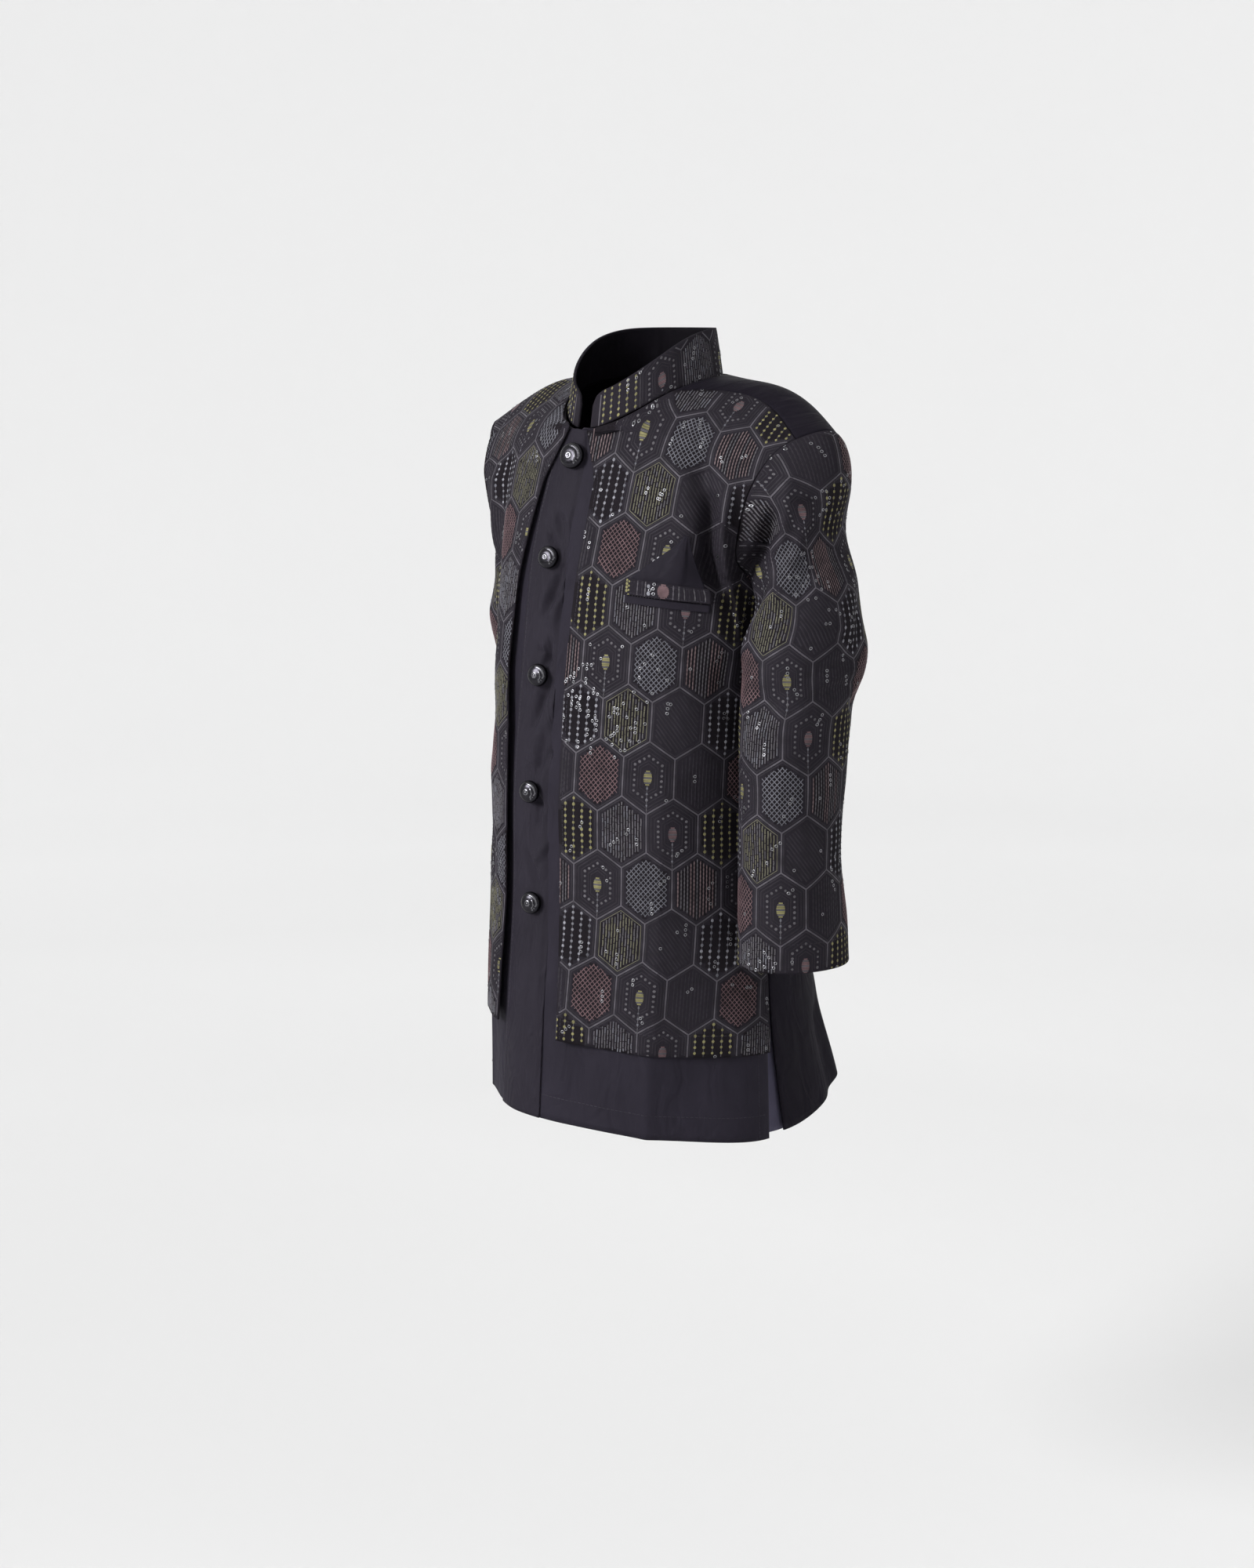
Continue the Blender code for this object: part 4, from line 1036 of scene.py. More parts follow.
def thicken(obj, cloth, inside=None):
    wall = obj.modifiers.new("cloth", "SOLIDIFY")
    wall.thickness = cloth
    wall.offset = -1.0
    wall.use_quality_normals = True
    if inside is not None:
        wall.material_offset = 1
    return obj


def shell(panel, name, cloth, outside, inside):
    """The panel as a thin closed wall, lined with the inside material."""
    chart = panel.chart.reshape(-1, 2)
    obj = add_mesh(name, panel.grid.reshape(-1, 3), panel.faces(), [outside, inside], chart=chart)
    return thicken(obj, cloth, inside)


def register(obj, slot, *nodes):
    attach(obj, "root")
    if nodes:
        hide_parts(*nodes)
    return obj


def dress(panel, name, cloth, outside, inside=LINING_PAINTED_SHADE):
    """The panel's shell, in place of the node that has the panel's name."""
    return register(shell(panel, name, cloth, outside, inside), panel.name, panel.name)


# Embroidery: how much lower than drawn it lies, and how far its foot is over the cloth
THREAD_RELIEF = 0.6
THREAD_FOOT = 0.00002
SEQUIN_LIFT = 0.0003


def split(a, b, step):
    """Points from a to b, both among them, at equal steps near to that long."""
    count = max(1, int(round(math.hypot(b[0] - a[0], b[1] - a[1]) / step)))
    return [(blend(a[0], b[0], i / count), blend(a[1], b[1], i / count)) for i in range(count + 1)]


def circle(radius, sides):
    turns = [2.0 * math.pi * k / sides for k in range(sides)]
    return [(radius * math.cos(a), radius * math.sin(a)) for a in turns]


def ring_faces(rings, sides, first=0):
    """Faces from each ring of points to the next."""
    faces = []
    for start in range(first, first + (rings - 1) * sides, sides):
        for k in range(sides):
            a, b = start + k, start + (k + 1) % sides
            faces.append((a, a + sides, b + sides, b))
    return faces


class Needlework:
    """Collects raised threads, knots and sequins on one panel, then makes one mesh of them.
    They are measured from the middle, a place in the panel's chart."""

    def __init__(self, panel, seed):
        self.panel = panel
        self.middle = (0.0, 0.0)
        self.places, self.lifts, self.faces, self.shades = [], [], [], []
        self.random = random.Random(seed)

    def placed(self, points):
        return [(self.middle[0] + x, self.middle[1] + y) for x, y in points]

    def add(self, places, lifts, faces, shade):
        start = len(self.places)
        self.places += places
        self.lifts += [THREAD_RELIEF * lift for lift in lifts]
        self.faces += [tuple(start + i for i in face) for face in faces]
        self.shades += [THREAD_NAMES.index(shade)] * len(faces)

    def thread(self, points, shade, width=0.0010, height=0.00035, step=0.0026, links=False):
        """A raised line through flat points. Links make it swell and narrow like chain stitches."""
        points = self.placed(points)
        path = [points[0]]
        for a, b in zip(points, points[1:]):
            path += split(a, b, step)[1:]
        places, lifts = [], []
        for i, (x, y) in enumerate(path):
            a, b = path[max(0, i - 1)], path[min(len(path) - 1, i + 1)]
            dx, dy = b[0] - a[0], b[1] - a[1]
            length = math.hypot(dx, dy) or 1.0
            swell = (1.15 if i % 2 else 0.45) if links else 1.0
            half = width * 0.5 * swell
            nx, ny = -dy / length * half, dx / length * half
            places += [(x + nx, y + ny), (x, y), (x - nx, y - ny)]
            top = height * (1.0 if swell >= 1.0 else 0.45)
            lifts += [THREAD_FOOT, top, THREAD_FOOT]
        faces = []
        for i in range(len(path) - 1):
            k = 3 * i
            faces += [(k, k + 1, k + 4, k + 3), (k + 1, k + 2, k + 5, k + 4)]
        self.add(places, lifts, [face[::-1] for face in faces], shade)

    def knot(self, x, y, shade, radius=0.0010, height=0.0006, tall=1.2):
        [(x, y)] = self.placed([(x, y)])
        r = radius * self.random.uniform(0.85, 1.12)
        places = [(x, y)] + [(x + across, y + tall * up) for across, up in circle(r, 6)]
        faces = [(0, k + 1, (k + 1) % 6 + 1) for k in range(6)]
        self.add(places, [height] + [THREAD_FOOT] * 6, faces, shade)

    def sequin(self, x, y, radius=0.00122):
        """A thin flat ring, a little tipped, with the cloth dark in its hole."""
        [(x, y)] = self.placed([(x, y)])
        lean = self.random.uniform(-0.35, 0.35)
        turn = self.random.uniform(0.0, 6.28)
        places, lifts = [], []
        for share, height in ((0.60, 0.00050), (0.80, 0.00070), (1.0, 0.00045)):
            for across, up in circle(radius * share, 9):
                places.append((x + across, y + up))
                tip = across * math.cos(turn) + up * math.sin(turn)
                lifts.append(height + lean * tip + SEQUIN_LIFT)
        self.add(places, lifts, ring_faces(3, 9), "sequin")

    def build(self, name, slot):
        points = self.panel.lay(self.places, self.lifts)
        lost = np.isnan(points[:, 0])
        kept, shades = [], []
        for face, shade in zip(self.faces, self.shades):
            if not any(lost[i] for i in face):
                kept.append(face)
                shades.append(shade)
        used = sorted({i for face in kept for i in face})
        number = {old: new for new, old in enumerate(used)}
        faces = [tuple(number[i] for i in face) for face in kept]
        obj = add_mesh(name, points[used], faces, list(THREADS.values()), indices=shades)
        return register(obj, slot)


# The lattice of pointed hexagons: pitch across, pitch up, straight side, slanted rise
CELL_WIDTH = 0.0375
CELL_PITCH = 0.0410
CELL_SIDE = 0.0286
CELL_RISE = CELL_PITCH - CELL_SIDE
CELL_SLOPE = CELL_RISE / (CELL_WIDTH / 2.0)
CELL_LEAN = math.sqrt(1.0 + CELL_SLOPE * CELL_SLOPE)
BAND = 0.0036


def cell_top(x, inset):
    """How high the cell, drawn in by inset, reaches at x from its middle."""
    return CELL_SIDE / 2.0 + CELL_RISE - inset * CELL_LEAN - abs(x) * CELL_SLOPE


def inside_cell(x, y, inset):
    return abs(x) <= CELL_WIDTH / 2.0 - inset and abs(y) <= cell_top(x, inset)


def cell_corners(inset):
    half, top = CELL_WIDTH / 2.0 - inset, cell_top(0.0, inset)
    shoulder = cell_top(half, inset)
    return [(0, top), (half, shoulder), (half, -shoulder), (0, -top), (-half, -shoulder), (-half, shoulder)]


def outline(work, inset, shade, **look):
    corners = cell_corners(inset)
    work.thread(corners + corners[:1], shade, **look)


def uprights(gap, inset):
    """Upright lines that fill a cell: the place across and the half height of each."""
    count = int((CELL_WIDTH / 2.0 - inset) / gap)
    return [(k * gap, cell_top(k * gap, inset)) for k in range(-count, count + 1)]


def upright_lines(work, shade, gap, other=None, **look):
    """Upright rows of chain stitch that fill a cell."""
    for x, top in uprights(gap, BAND):
        colour = other if other and work.random.random() < 0.4 else shade
        work.thread([(x, -top), (x, top)], colour, **look)


def brushed(work, shades, gap, inset):
    """A dense upright fill of short wavering stitches."""
    for x, top in uprights(gap, inset):
        y = -top + work.random.uniform(0.0, 0.0015)
        while y < top - 0.0015:
            end = min(top, y + work.random.uniform(0.0028, 0.0062))
            bent = work.random.uniform(-0.00025, 0.00025)
            points = [(x, y), (x + bent, (y + end) / 2.0), (x, end)]
            work.thread(points, work.random.choice(shades), width=0.0009, height=0.00045, step=0.004)
            y = end + work.random.uniform(0.0002, 0.0007)


def framed(work):
    brushed(work, ("olive", "olive", "grey"), 0.0022, BAND + 0.0003)
    outline(work, BAND - 0.0006, "olive", width=0.0006)


DOT_COLUMN_GAP = 0.0067
DOT_GAP = 0.00445
DOT_INSET = 0.0012


def dot_rows(work, shade, other=None):
    """Upright rows of knots on a thin thread."""
    for k in range(-2, 3):
        x = k * DOT_COLUMN_GAP
        top = cell_top(x, 0.0) - DOT_INSET
        work.thread([(x, -top), (x, top)], "lattice", width=0.0004, height=0.0002, step=0.006)
        for n in range(-5, 6):
            y = n * DOT_GAP
            if abs(y) < top - 0.0022:
                colour = other if other and work.random.random() < 0.3 else shade
                wander = work.random.uniform(-0.0002, 0.0002)
                work.knot(x + wander, y, colour, 0.00110, 0.00060, 1.15)


def slanted_lines(work, shade, degrees, gap, **look):
    """Straight lines across a cell at an angle."""
    dx, dy = math.cos(math.radians(degrees)), math.sin(math.radians(degrees))
    for k in range(-14, 15):
        x, y = -dy * gap * k, dx * gap * k
        run = [(x + dx * t * 0.001, y + dy * t * 0.001) for t in range(-30, 31)]
        run = [p for p in run if inside_cell(*p, BAND)]
        if len(run) > 2:
            work.thread([run[0], run[-1]], shade, **look)


def cross_hatch(work, shade, **look):
    for degrees in (48, -48):
        slanted_lines(work, shade, degrees, 0.00275, **look)


def medallion(work, shade):
    """Hexagons one in another round a stitched oval with a stem."""
    for inset, width in ((0.0038, 0.0008), (0.0063, 0.0006), (0.0115, 0.0006), (0.0134, 0.0006)):
        outline(work, inset, "dark", width=width)
    corners = cell_corners(0.0088)
    for a, b in zip(corners, corners[1:] + corners[:1]):
        for x, y in split(a, b, 0.0036)[:-1]:
            work.knot(x, y, "grey", 0.00105, 0.0004, 1.0)
    for k in range(-4, 5):
        y = k * 0.00122
        tone = "grey" if k % 3 == 0 else shade
        half = 0.0031 * math.sqrt(max(0.05, 1.0 - (y / 0.0055) ** 2))
        work.thread([(-half, y), (half, y)], tone, width=0.00105, height=0.0006, step=0.0031)
    stem = [(0.0, -0.0058), (0.0, 0.001 - cell_top(0.0, 0.0))]
    work.thread(stem, "grey", width=0.0005, height=0.0002, step=0.006)
    for k in range(4):
        work.knot(0.0, -0.0075 - k * 0.0042, "cool", 0.0008, 0.0005, 1.3)


LOOKS = {
    "yellow_dots": partial(dot_rows, shade="yellow"),
    "white_dots": partial(dot_rows, shade="white", other="cool"),
    "grey_chain": partial(brushed, shades=("grey", "grey", "cool", "lattice"), gap=0.0021, inset=BAND),
    "red_medallion": partial(medallion, shade="red"),
    "yellow_medallion": partial(medallion, shade="yellow"),
    "cool_hatch": partial(cross_hatch, shade="cool", width=0.00064),
    "red_hatch": partial(cross_hatch, shade="red", width=0.00060),
    "red_chain": partial(
        upright_lines, shade="rose", gap=0.0024, other="grey", width=0.0009, step=0.0016, links=True
    ),
    "olive_chain": framed,
    "dark_slant": partial(slanted_lines, shade="dark", degrees=-52, gap=0.0025, width=0.0011),
    "dark_lines": partial(upright_lines, shade="dark", gap=0.0026, width=0.0011, step=0.0022, links=True),
}
# Rows of the repeat from the first row up, each with its three cells to the wearer's left;
# the second and fourth rows sit half a cell further
REPEAT = (
    ("yellow_dots", "grey_chain", "red_medallion"),
    ("red_hatch", "yellow_medallion", "dark_lines"),
    ("white_dots", "olive_chain", "dark_slant"),
    ("yellow_medallion", "cool_hatch", "red_chain"),
)
# The looks whose ground is painted darker, as the shade between their dense threads, and how far that painted
# shade is drawn in
LOOKS_WITH_PAINTED_SHADE = ("yellow_dots", "white_dots", "grey_chain", "olive_chain", "red_chain", "cool_hatch", "red_hatch")
PAINTED_SHADE_INSET = 0.0040
SEQUINS_A_CELL = 4.6
SEQUIN_STEP = 0.0036
CLUSTER_STEP = 0.0034


def sequin_run(work):
    """A few sequins in a short broken line, as they are scattered over the cloth."""
    x = work.random.uniform(-0.38, 0.38) * CELL_WIDTH
    y = work.random.uniform(-0.45, 0.35) * CELL_PITCH
    angle = work.random.choice((math.pi / 2, math.pi / 2, math.pi / 2, 1.2, 2.0, 0.7))
    for _ in range(work.random.choice((1, 1, 2, 2, 3))):
        work.sequin(x, y)
        x += math.cos(angle) * SEQUIN_STEP + work.random.uniform(-0.0003, 0.0003)
        y += math.sin(angle) * SEQUIN_STEP


def cluster(work, count):
    """Sequins sewn close together in upright rows over most of a cell."""
    spots = [(c * CLUSTER_STEP, r * CLUSTER_STEP) for c in range(-4, 5) for r in range(-5, 6)]
    for x, y in work.random.sample([spot for spot in spots if inside_cell(*spot, BAND)], count):
        work.sequin(x, y + work.random.uniform(-0.0004, 0.0004))


def cell_shift(row):
    return 0.5 * CELL_WIDTH if row % 2 else 0.0


def paint_shade_between_threads(piece, panel, origin):
    """Paints shade on the cloth under the filled cells: a darker ground for the shadow between their threads.
    """
    middles = panel.chart.reshape(-1, 2)[panel.faces()].mean(axis=1) - np.array(origin)
    for face, (x, y) in enumerate(middles):
        below = int(math.floor(y / CELL_PITCH))
        for r in (below, below + 1):
            c = int(round((x - cell_shift(r)) / CELL_WIDTH))
            if REPEAT[r % 4][c % 3] in LOOKS_WITH_PAINTED_SHADE:
                if inside_cell(x - cell_shift(r) - c * CELL_WIDTH, y - r * CELL_PITCH, PAINTED_SHADE_INSET):
                    piece.data.polygons[face].material_index = 2


def embroider(work, origin):
    """Draws the lattice and its fillings over the whole of a panel's chart."""
    flat = work.panel.chart.reshape(-1, 2) - np.array(origin)
    low, high = flat.min(axis=0), flat.max(axis=0)
    columns, rows = [
        range(int(math.floor(low[k] / pitch)) - 1, int(math.ceil(high[k] / pitch)) + 2)
        for k, pitch in enumerate((CELL_WIDTH, CELL_PITCH))
    ]
    corners = cell_corners(0.0)
    for r in rows:
        for c in columns:
            work.middle = (origin[0] + cell_shift(r) + c * CELL_WIDTH, origin[1] + r * CELL_PITCH)
            for a, b in ((0, 1), (1, 2), (5, 0)):
                work.thread([corners[a], corners[b]], "lattice", width=0.0011, step=0.003)
            outline(work, 0.0017, "dark", width=0.0009, step=0.004)
            LOOKS[REPEAT[r % 4][c % 3]](work)
            count = int(SEQUINS_A_CELL) + (1 if work.random.random() < SEQUINS_A_CELL % 1 else 0)
            for _ in range(count):
                if work.random.random() < 0.45:
                    sequin_run(work)


STITCH_START = 0.0015
STITCH_HEIGHT = 0.00032


def stitches(panel, name, runs, slot, material, length=0.0024, gap=0.0010, width=0.0006):
    """Rows of running stitch. A run is a list of world points that lie on the panel."""
    points, faces = [], []
    for run, normals in runs:
        marks = run_marks(run)
        place = STITCH_START
        while place + length < marks[-1]:
            ends = []
            for share in (0.0, 0.25, 0.75, 1.0):
                s = place + length * share
                ends.append(np.array([np.interp(s, marks, run[:, k]) for k in range(3)]))
            out = np.array([np.interp(place, marks, normals[:, k]) for k in range(3)])
            out /= np.linalg.norm(out)
            side = np.cross(out, ends[-1] - ends[0])
            side *= width * 0.5 / (np.linalg.norm(side) + 1e-12)
            start = len(points)
            for p, lift in zip(ends, (THREAD_FOOT, STITCH_HEIGHT, STITCH_HEIGHT, THREAD_FOOT)):
                points += [p + side * 0.9, p + out * lift * 1.2, p - side * 0.9]
            for k in range(start, start + 9, 3):
                faces += [(k, k + 3, k + 4, k + 1), (k + 1, k + 4, k + 5, k + 2)]
            place += length + gap
    return register(add_mesh(name, points, faces, [material]), slot)


def ripple(panel, side, folds, noise, size, seed):
    """Lays the finer folds and a slight unevenness over a panel."""
    height = crease_field(panel.grid, side, folds) + noise * soft_noise(panel.grid, size, seed)
    panel.push(height)


jackets = {side: jacket_panel(side) for side in WORDS}
kurtas = {side: kurta_panel(side) for side in WORDS}
sleeves = {side: sleeve_panel(side) for side in WORDS}
back_halves = {side: back_panel(side) for side in WORDS}
for side in WORDS:
    ripple(jackets[side], side, FINE_JACKET_FOLDS, 0.00035, 0.060, 11 + side)
    pucker = crease_field(kurtas[side].grid, 1, PLACKET_FOLDS, FACE_ON)
    kurtas[side].push(pucker - 0.35 * np.abs(pucker))
    ripple(kurtas[side], side, FINE_KURTA_FOLDS + FINE_JACKET_FOLDS, 0.00015, 0.080, 21 + side)
    ripple(sleeves[side], side, FINE_SLEEVE_FOLDS, 0.00045, 0.050, 31 + side)
    ripple(back_halves[side], side, FINE_BACK_FOLDS, 0.0004, 0.070, 41)
for panel in (jackets[1], kurtas[1], sleeves[1]):
    panel.shift(crease_field(panel.grid, 1, ARM_FOLDS), ARM_PUSH)


def seam_shell(half_a, half_b, name, cloth, outside, inside, shared):
    """Two panels joined where their first columns meet, in the rows from shared on."""
    rows, columns = half_a.grid.shape[:2]
    count = rows * columns
    points = np.concatenate([half_a.grid.reshape(-1, 3), half_b.grid.reshape(-1, 3)])
    chart = np.concatenate([half_a.chart.reshape(-1, 2), half_b.chart.reshape(-1, 2)])
    faces_b = half_b.faces() + count
    for first in range(shared * columns, count, columns):
        points[first] = (points[first] + points[count + first]) / 2.0
        faces_b[faces_b == count + first] = first
    obj = add_mesh(name, points, np.concatenate([half_a.faces(), faces_b]), [outside, inside], chart=chart)
    return thicken(obj, cloth, inside)


shells = {}
for side, word in WORDS.items():
    for kind, panels, cloth, shade in (
        ("kurta", kurtas, KURTA_CLOTH, KURTA_SHADE),
        ("jacket", jackets, JACKET_CLOTH, JACKET_SHADE),
        ("sleeve", sleeves, SLEEVE_CLOTH, JACKET_SHADE),
    ):
        shells[kind, side] = dress(panels[side], "%s_%s_cloth" % (kind, word), cloth, shade)
shared_row = (len(spaced(FRONT_NECK_ROW, SHOULDER_ROW, SHOULDER_STEP)) - 1) * REFINE
back = back_halves[1], back_halves[-1]
piece = seam_shell(*back, "back_cloth", BACK_CLOTH, BACK_PAINTED_SHADE, LINING_PAINTED_SHADE, shared_row)
shells["back"] = register(piece, "back", "back")


# Collar, placket, pocket and facings
COLLAR_LINES = 88
COLLAR_ROWS = 8
COLLAR_CROWDING = 0.35
COLLAR_RISE_LENGTH = 0.12
COLLAR_CORNER_CUT = 0.8


def collar_panel():
    half_length = math.pi - COLLAR_GAP_ANGLE
    radius = (NECK_HALF_WIDTH + NECK_HALF_DEPTH) / 2.0
    points, chart = [], []
    for share in spaced(0.0, 1.0, 1.0 / COLLAR_ROWS):
        for i in range(COLLAR_LINES + 1):
            s = 2.0 * i / COLLAR_LINES - 1.0
            s = math.sin(s * math.pi / 2.0) * COLLAR_CROWDING + s * (1.0 - COLLAR_CROWDING)
            angle = math.pi + s * half_length
            from_end = (1.0 - abs(s)) * half_length * radius
            risen = smooth_step(from_end, 0.0, COLLAR_RISE_LENGTH)
            height = blend(COLLAR_END_HEIGHT, COLLAR_BACK_HEIGHT, risen)
            if from_end < COLLAR_CORNER:
                part = 1.0 - from_end / COLLAR_CORNER
                height -= COLLAR_CORNER * (1.0 - math.sqrt(1.0 - part * part)) * COLLAR_CORNER_CUT
            base = neck_point(angle)
            inward = -Vector((base.x, base.y, 0.0)).normalized()
            rise = Vector((0.0, 0.0, 1.0)) + inward * COLLAR_LEAN
            over = COLLAR_OVER_SEAM + COLLAR_OVER_SHOULDER * smooth_step(1.0 - math.cos(angle), 0.3, 1.0)
            lift = Vector((0.0, 0.0, over)) + inward * COLLAR_INSIDE_SEAM
            tuck = COLLAR_TUCK * smooth_step(1.0 - math.cos(angle), 0.5, 1.2) * (1.0 - share) ** 2
            points.append(base + lift + rise.normalized() * height * share - Vector((0.0, 0.0, tuck)))
            chart.append((s * half_length * radius, height * share))
    return panel_of("collar", points, chart, COLLAR_LINES + 1, (2, 2))


# The step of the placket's rows, the share of its width from which its left edge sinks into the kurta,
# and how many cloths deep
PLACKET_STEP = 0.10
SUNK_FROM = 0.82
SUNK_DEPTH = 1.7


def placket_panel():
    points, chart = [], []
    columns = 14
    for row in spaced(0.0, FRONT_NECK_ROW, PLACKET_STEP):
        low, high = -along(PLACKET_TO_RIGHT, row), along(PLACKET_TO_LEFT, row)
        for i in range(columns):
            offset = blend(low, high, i / (columns - 1))
            side = 1 if offset >= 0.0 else -1
            sunk = smooth_step(i / (columns - 1), SUNK_FROM, 1.0) * smooth_step(row, 0.5, 1.3)
            lift = SEAM_GAP + KURTA_CLOTH * (1.0 - SUNK_DEPTH * sunk)
            p = on_form(row, u_at(row, side, abs(offset)), side, lift)
            points.append(p)
            chart.append((offset, p.z))
    return panel_of("kurta_placket", points, chart, columns)


CHEST_ROWS = (3.0, 7.5)
HALVINGS = 24


def row_at_height(height, u, side):
    """Row of the chest at which the form has that height, found by halving."""
    low, high = CHEST_ROWS
    for _ in range(HALVINGS):
        middle = (low + high) / 2.0
        if form_point(middle, u, side).z < height:
            low = middle
        else:
            high = middle
    return low


POCKET_ROW = 5.2
POCKET_MARKS = distance_table(POCKET_ROW, 1)


def pocket_point(across, down, lift):
    """Point over the left jacket front; across 0 to 1 outward, down from the pocket's mouth."""
    height = blend(POCKET_TOP_INNER, POCKET_TOP_OUTER, across) - down
    u = u_in(POCKET_MARKS, POCKET_FROM_CENTRE + POCKET_WIDTH * across)
    row = row_at_height(height, u, 1)
    return on_form(row, u, 1, jacket_lift(row, u, 1) + lift)


def pocket_panel(name, downs, edges, lift_of):
    """A piece on the chest: downs from its foot up, edges(down) its two ends, lift_of(down, across)."""
    points, chart = [], []
    columns = 13
    for down in downs:
        inner, outer = edges(down)
        for c in range(columns):
            across = blend(inner, outer, c / (columns - 1))
            points.append(pocket_point(across, down, lift_of(down, across)))
            chart.append((across * POCKET_WIDTH, -down))
    return panel_of(name, points, chart, columns)


# How far the square bulges over its middle
SQUARE_BULGE = 0.0016


def square_edges(down):
    share = max(0.0, -down / SQUARE_PEAK)
    return (blend(0.04, SQUARE_PEAK_ACROSS[0], share), blend(0.96, SQUARE_PEAK_ACROSS[1], share**1.6))


def square_lift(down, across):
    """The square's three folds, which meet at its peak."""
    share = max(0.0, -down / SQUARE_PEAK)
    inner, outer = square_edges(down)
    inside = (across - inner) / (outer - inner)
    first = blend(0.46, 0.17, share)
    step = 0.0011 * smooth_step(inside, first - 0.035, first) - 0.0013 * smooth_step(inside, 0.67, 0.76)
    bulge = SQUARE_BULGE * math.sin(math.pi * min(1.0, max(0.0, inside)))
    bulge *= (1.0 - share) * smooth_step(share, 0.0, 0.25)
    return POCKET_LIFT + SQUARE_CLOTH + step * (1.0 - share**3) + bulge


def full_width(down):
    return (0.0, 1.0)


collar = collar_panel()
placket = placket_panel()
WELT_LIFT = POCKET_LIFT + 2.5 * SEAM_GAP + SQUARE_CLOTH + WELT_CLOTH
BAND_TOP = WELT_HEIGHT + 2.0 * SEAM_GAP
welt_downs = [WELT_HEIGHT * (1.0 - i / 5.0) for i in range(6)]
band_downs = [BAND_TOP + BAND_HEIGHT * (1.0 - i / 3.0) for i in range(4)]
square_downs = [blend(SQUARE_TUCK, -SQUARE_PEAK, i / 14.0) for i in range(15)]
welt = pocket_panel("pocket_welt", welt_downs, full_width, lambda down, across: WELT_LIFT)
band = pocket_panel("pocket_band", band_downs, full_width, lambda down, across: POCKET_LIFT + BAND_CLOTH)
square = pocket_panel("pocket_square", square_downs, square_edges, square_lift)


def facing_panel(side):
    points, chart = [], []
    rows = spaced(SLIT_FACING_ROWS[0], SLIT_FACING_ROWS[1], 0.1)
    reaches = [i * SLIT_FACING_OUT / 6.0 for i in range(1, 7)]
    for row in rows:
        whole = distance_table(row, side)[-1][0]
        last = u_before_seam(row, side)
        edge = on_form(row, last, side, SLIT_FACING_LIFT)
        inner = on_form(row, last - SLIT_FACING_UNDER / whole, side, SLIT_FACING_LIFT)
        out = (edge - on_form(row, last - 0.01, side, SLIT_FACING_LIFT)).normalized()
        into = form_normal(row, 1.0, side) * -1.0
        line = [inner, edge]
        line += [edge + out * reach + into * reach * reach / (2.0 * SLIT_FACING_BEND) for reach in reaches]
        points += line
        chart += [(side * x, edge.z) for x in [-SLIT_FACING_UNDER, 0.0] + reaches]
    return panel_of("slit_facing_" + WORDS[side], points, chart, len(reaches) + 2, (2, 2), side < 0)


facings = {side: facing_panel(side) for side in WORDS}
placket.push(crease_field(placket.grid, 1, PLACKET_FOLDS, FACE_ON))
SMALL = (
    (collar, "collar_cloth", COLLAR_CLOTH, JACKET_SHADE),
    (placket, "placket_cloth", KURTA_CLOTH, PLACKET_SHADE),
    (welt, "welt_cloth", WELT_CLOTH, JACKET_SHADE),
    (band, "band_cloth", BAND_CLOTH, POCKET_SHADE),
    (square, "square_cloth", SQUARE_CLOTH, POCKET_SHADE),
    (facings[1], "facing_left_cloth", SLIT_FACING_CLOTH, FACING_PAINTED_SHADE),
    (facings[-1], "facing_right_cloth", SLIT_FACING_CLOTH, FACING_PAINTED_SHADE),
)
for panel, name, cloth, shade in SMALL:
    inside = FACING_PAINTED_SHADE if "facing" in name else LINING_PAINTED_SHADE
    shells[panel.name] = dress(panel, name, cloth, shade, inside)


# Buttons. The dome's half outline runs from its top to its rim, then come the underside and the shank
DOME = ((0.0, 1.0), (0.25, 0.99), (0.50, 0.95), (0.70, 0.87), (0.85, 0.755), (0.95, 0.61), (1.0, 0.44))
BUTTON_DOME = [Vector(p) for p in DOME]
BUTTON_UNDER = ((0.99, 0.36), (0.94, 0.30), (0.62, 0.22), (0.40, 0.18), (0.36, 0.0))
BUTTON_RINGS = 25
BUTTON_SIDES = 64
BUTTON_RELIEF = 0.00030


def ridge(distance, middle, width):
    return math.exp(-(((distance - middle) / width) ** 2))


def ornament(x, y):
    """How raised a dome is: a curled leaf with an eye and a few grains, and an arc near the rim that is a
    painted highlight, on a dome of radius 1.
    """
    eye = math.hypot(x + 0.12, y + 0.02)
    total = ridge(eye, 0.19, 0.05) + ridge(eye, 0.0, 0.07)
    far, angle = math.hypot(x + 0.06, y + 0.06), math.degrees(math.atan2(y + 0.06, x + 0.06))
    # The arc near the rim at the upper right is a painted highlight, raised and given the bright metal
    total += ridge(far, 0.80, 0.06) * smooth_step(angle, -20.0, 0.0) * smooth_step(-angle, -105.0, -85.0)
    total += ridge(far, 0.50, 0.04) * smooth_step(angle, -60.0, -40.0) * smooth_step(-angle, -50.0, -30.0)
    for dot_x, dot_y in ((0.52, -0.42), (0.66, -0.22), (0.34, -0.58)):
        total += math.exp(-(((x - dot_x) ** 2 + (y - dot_y) ** 2) / 0.0045))
    return min(1.0, total)


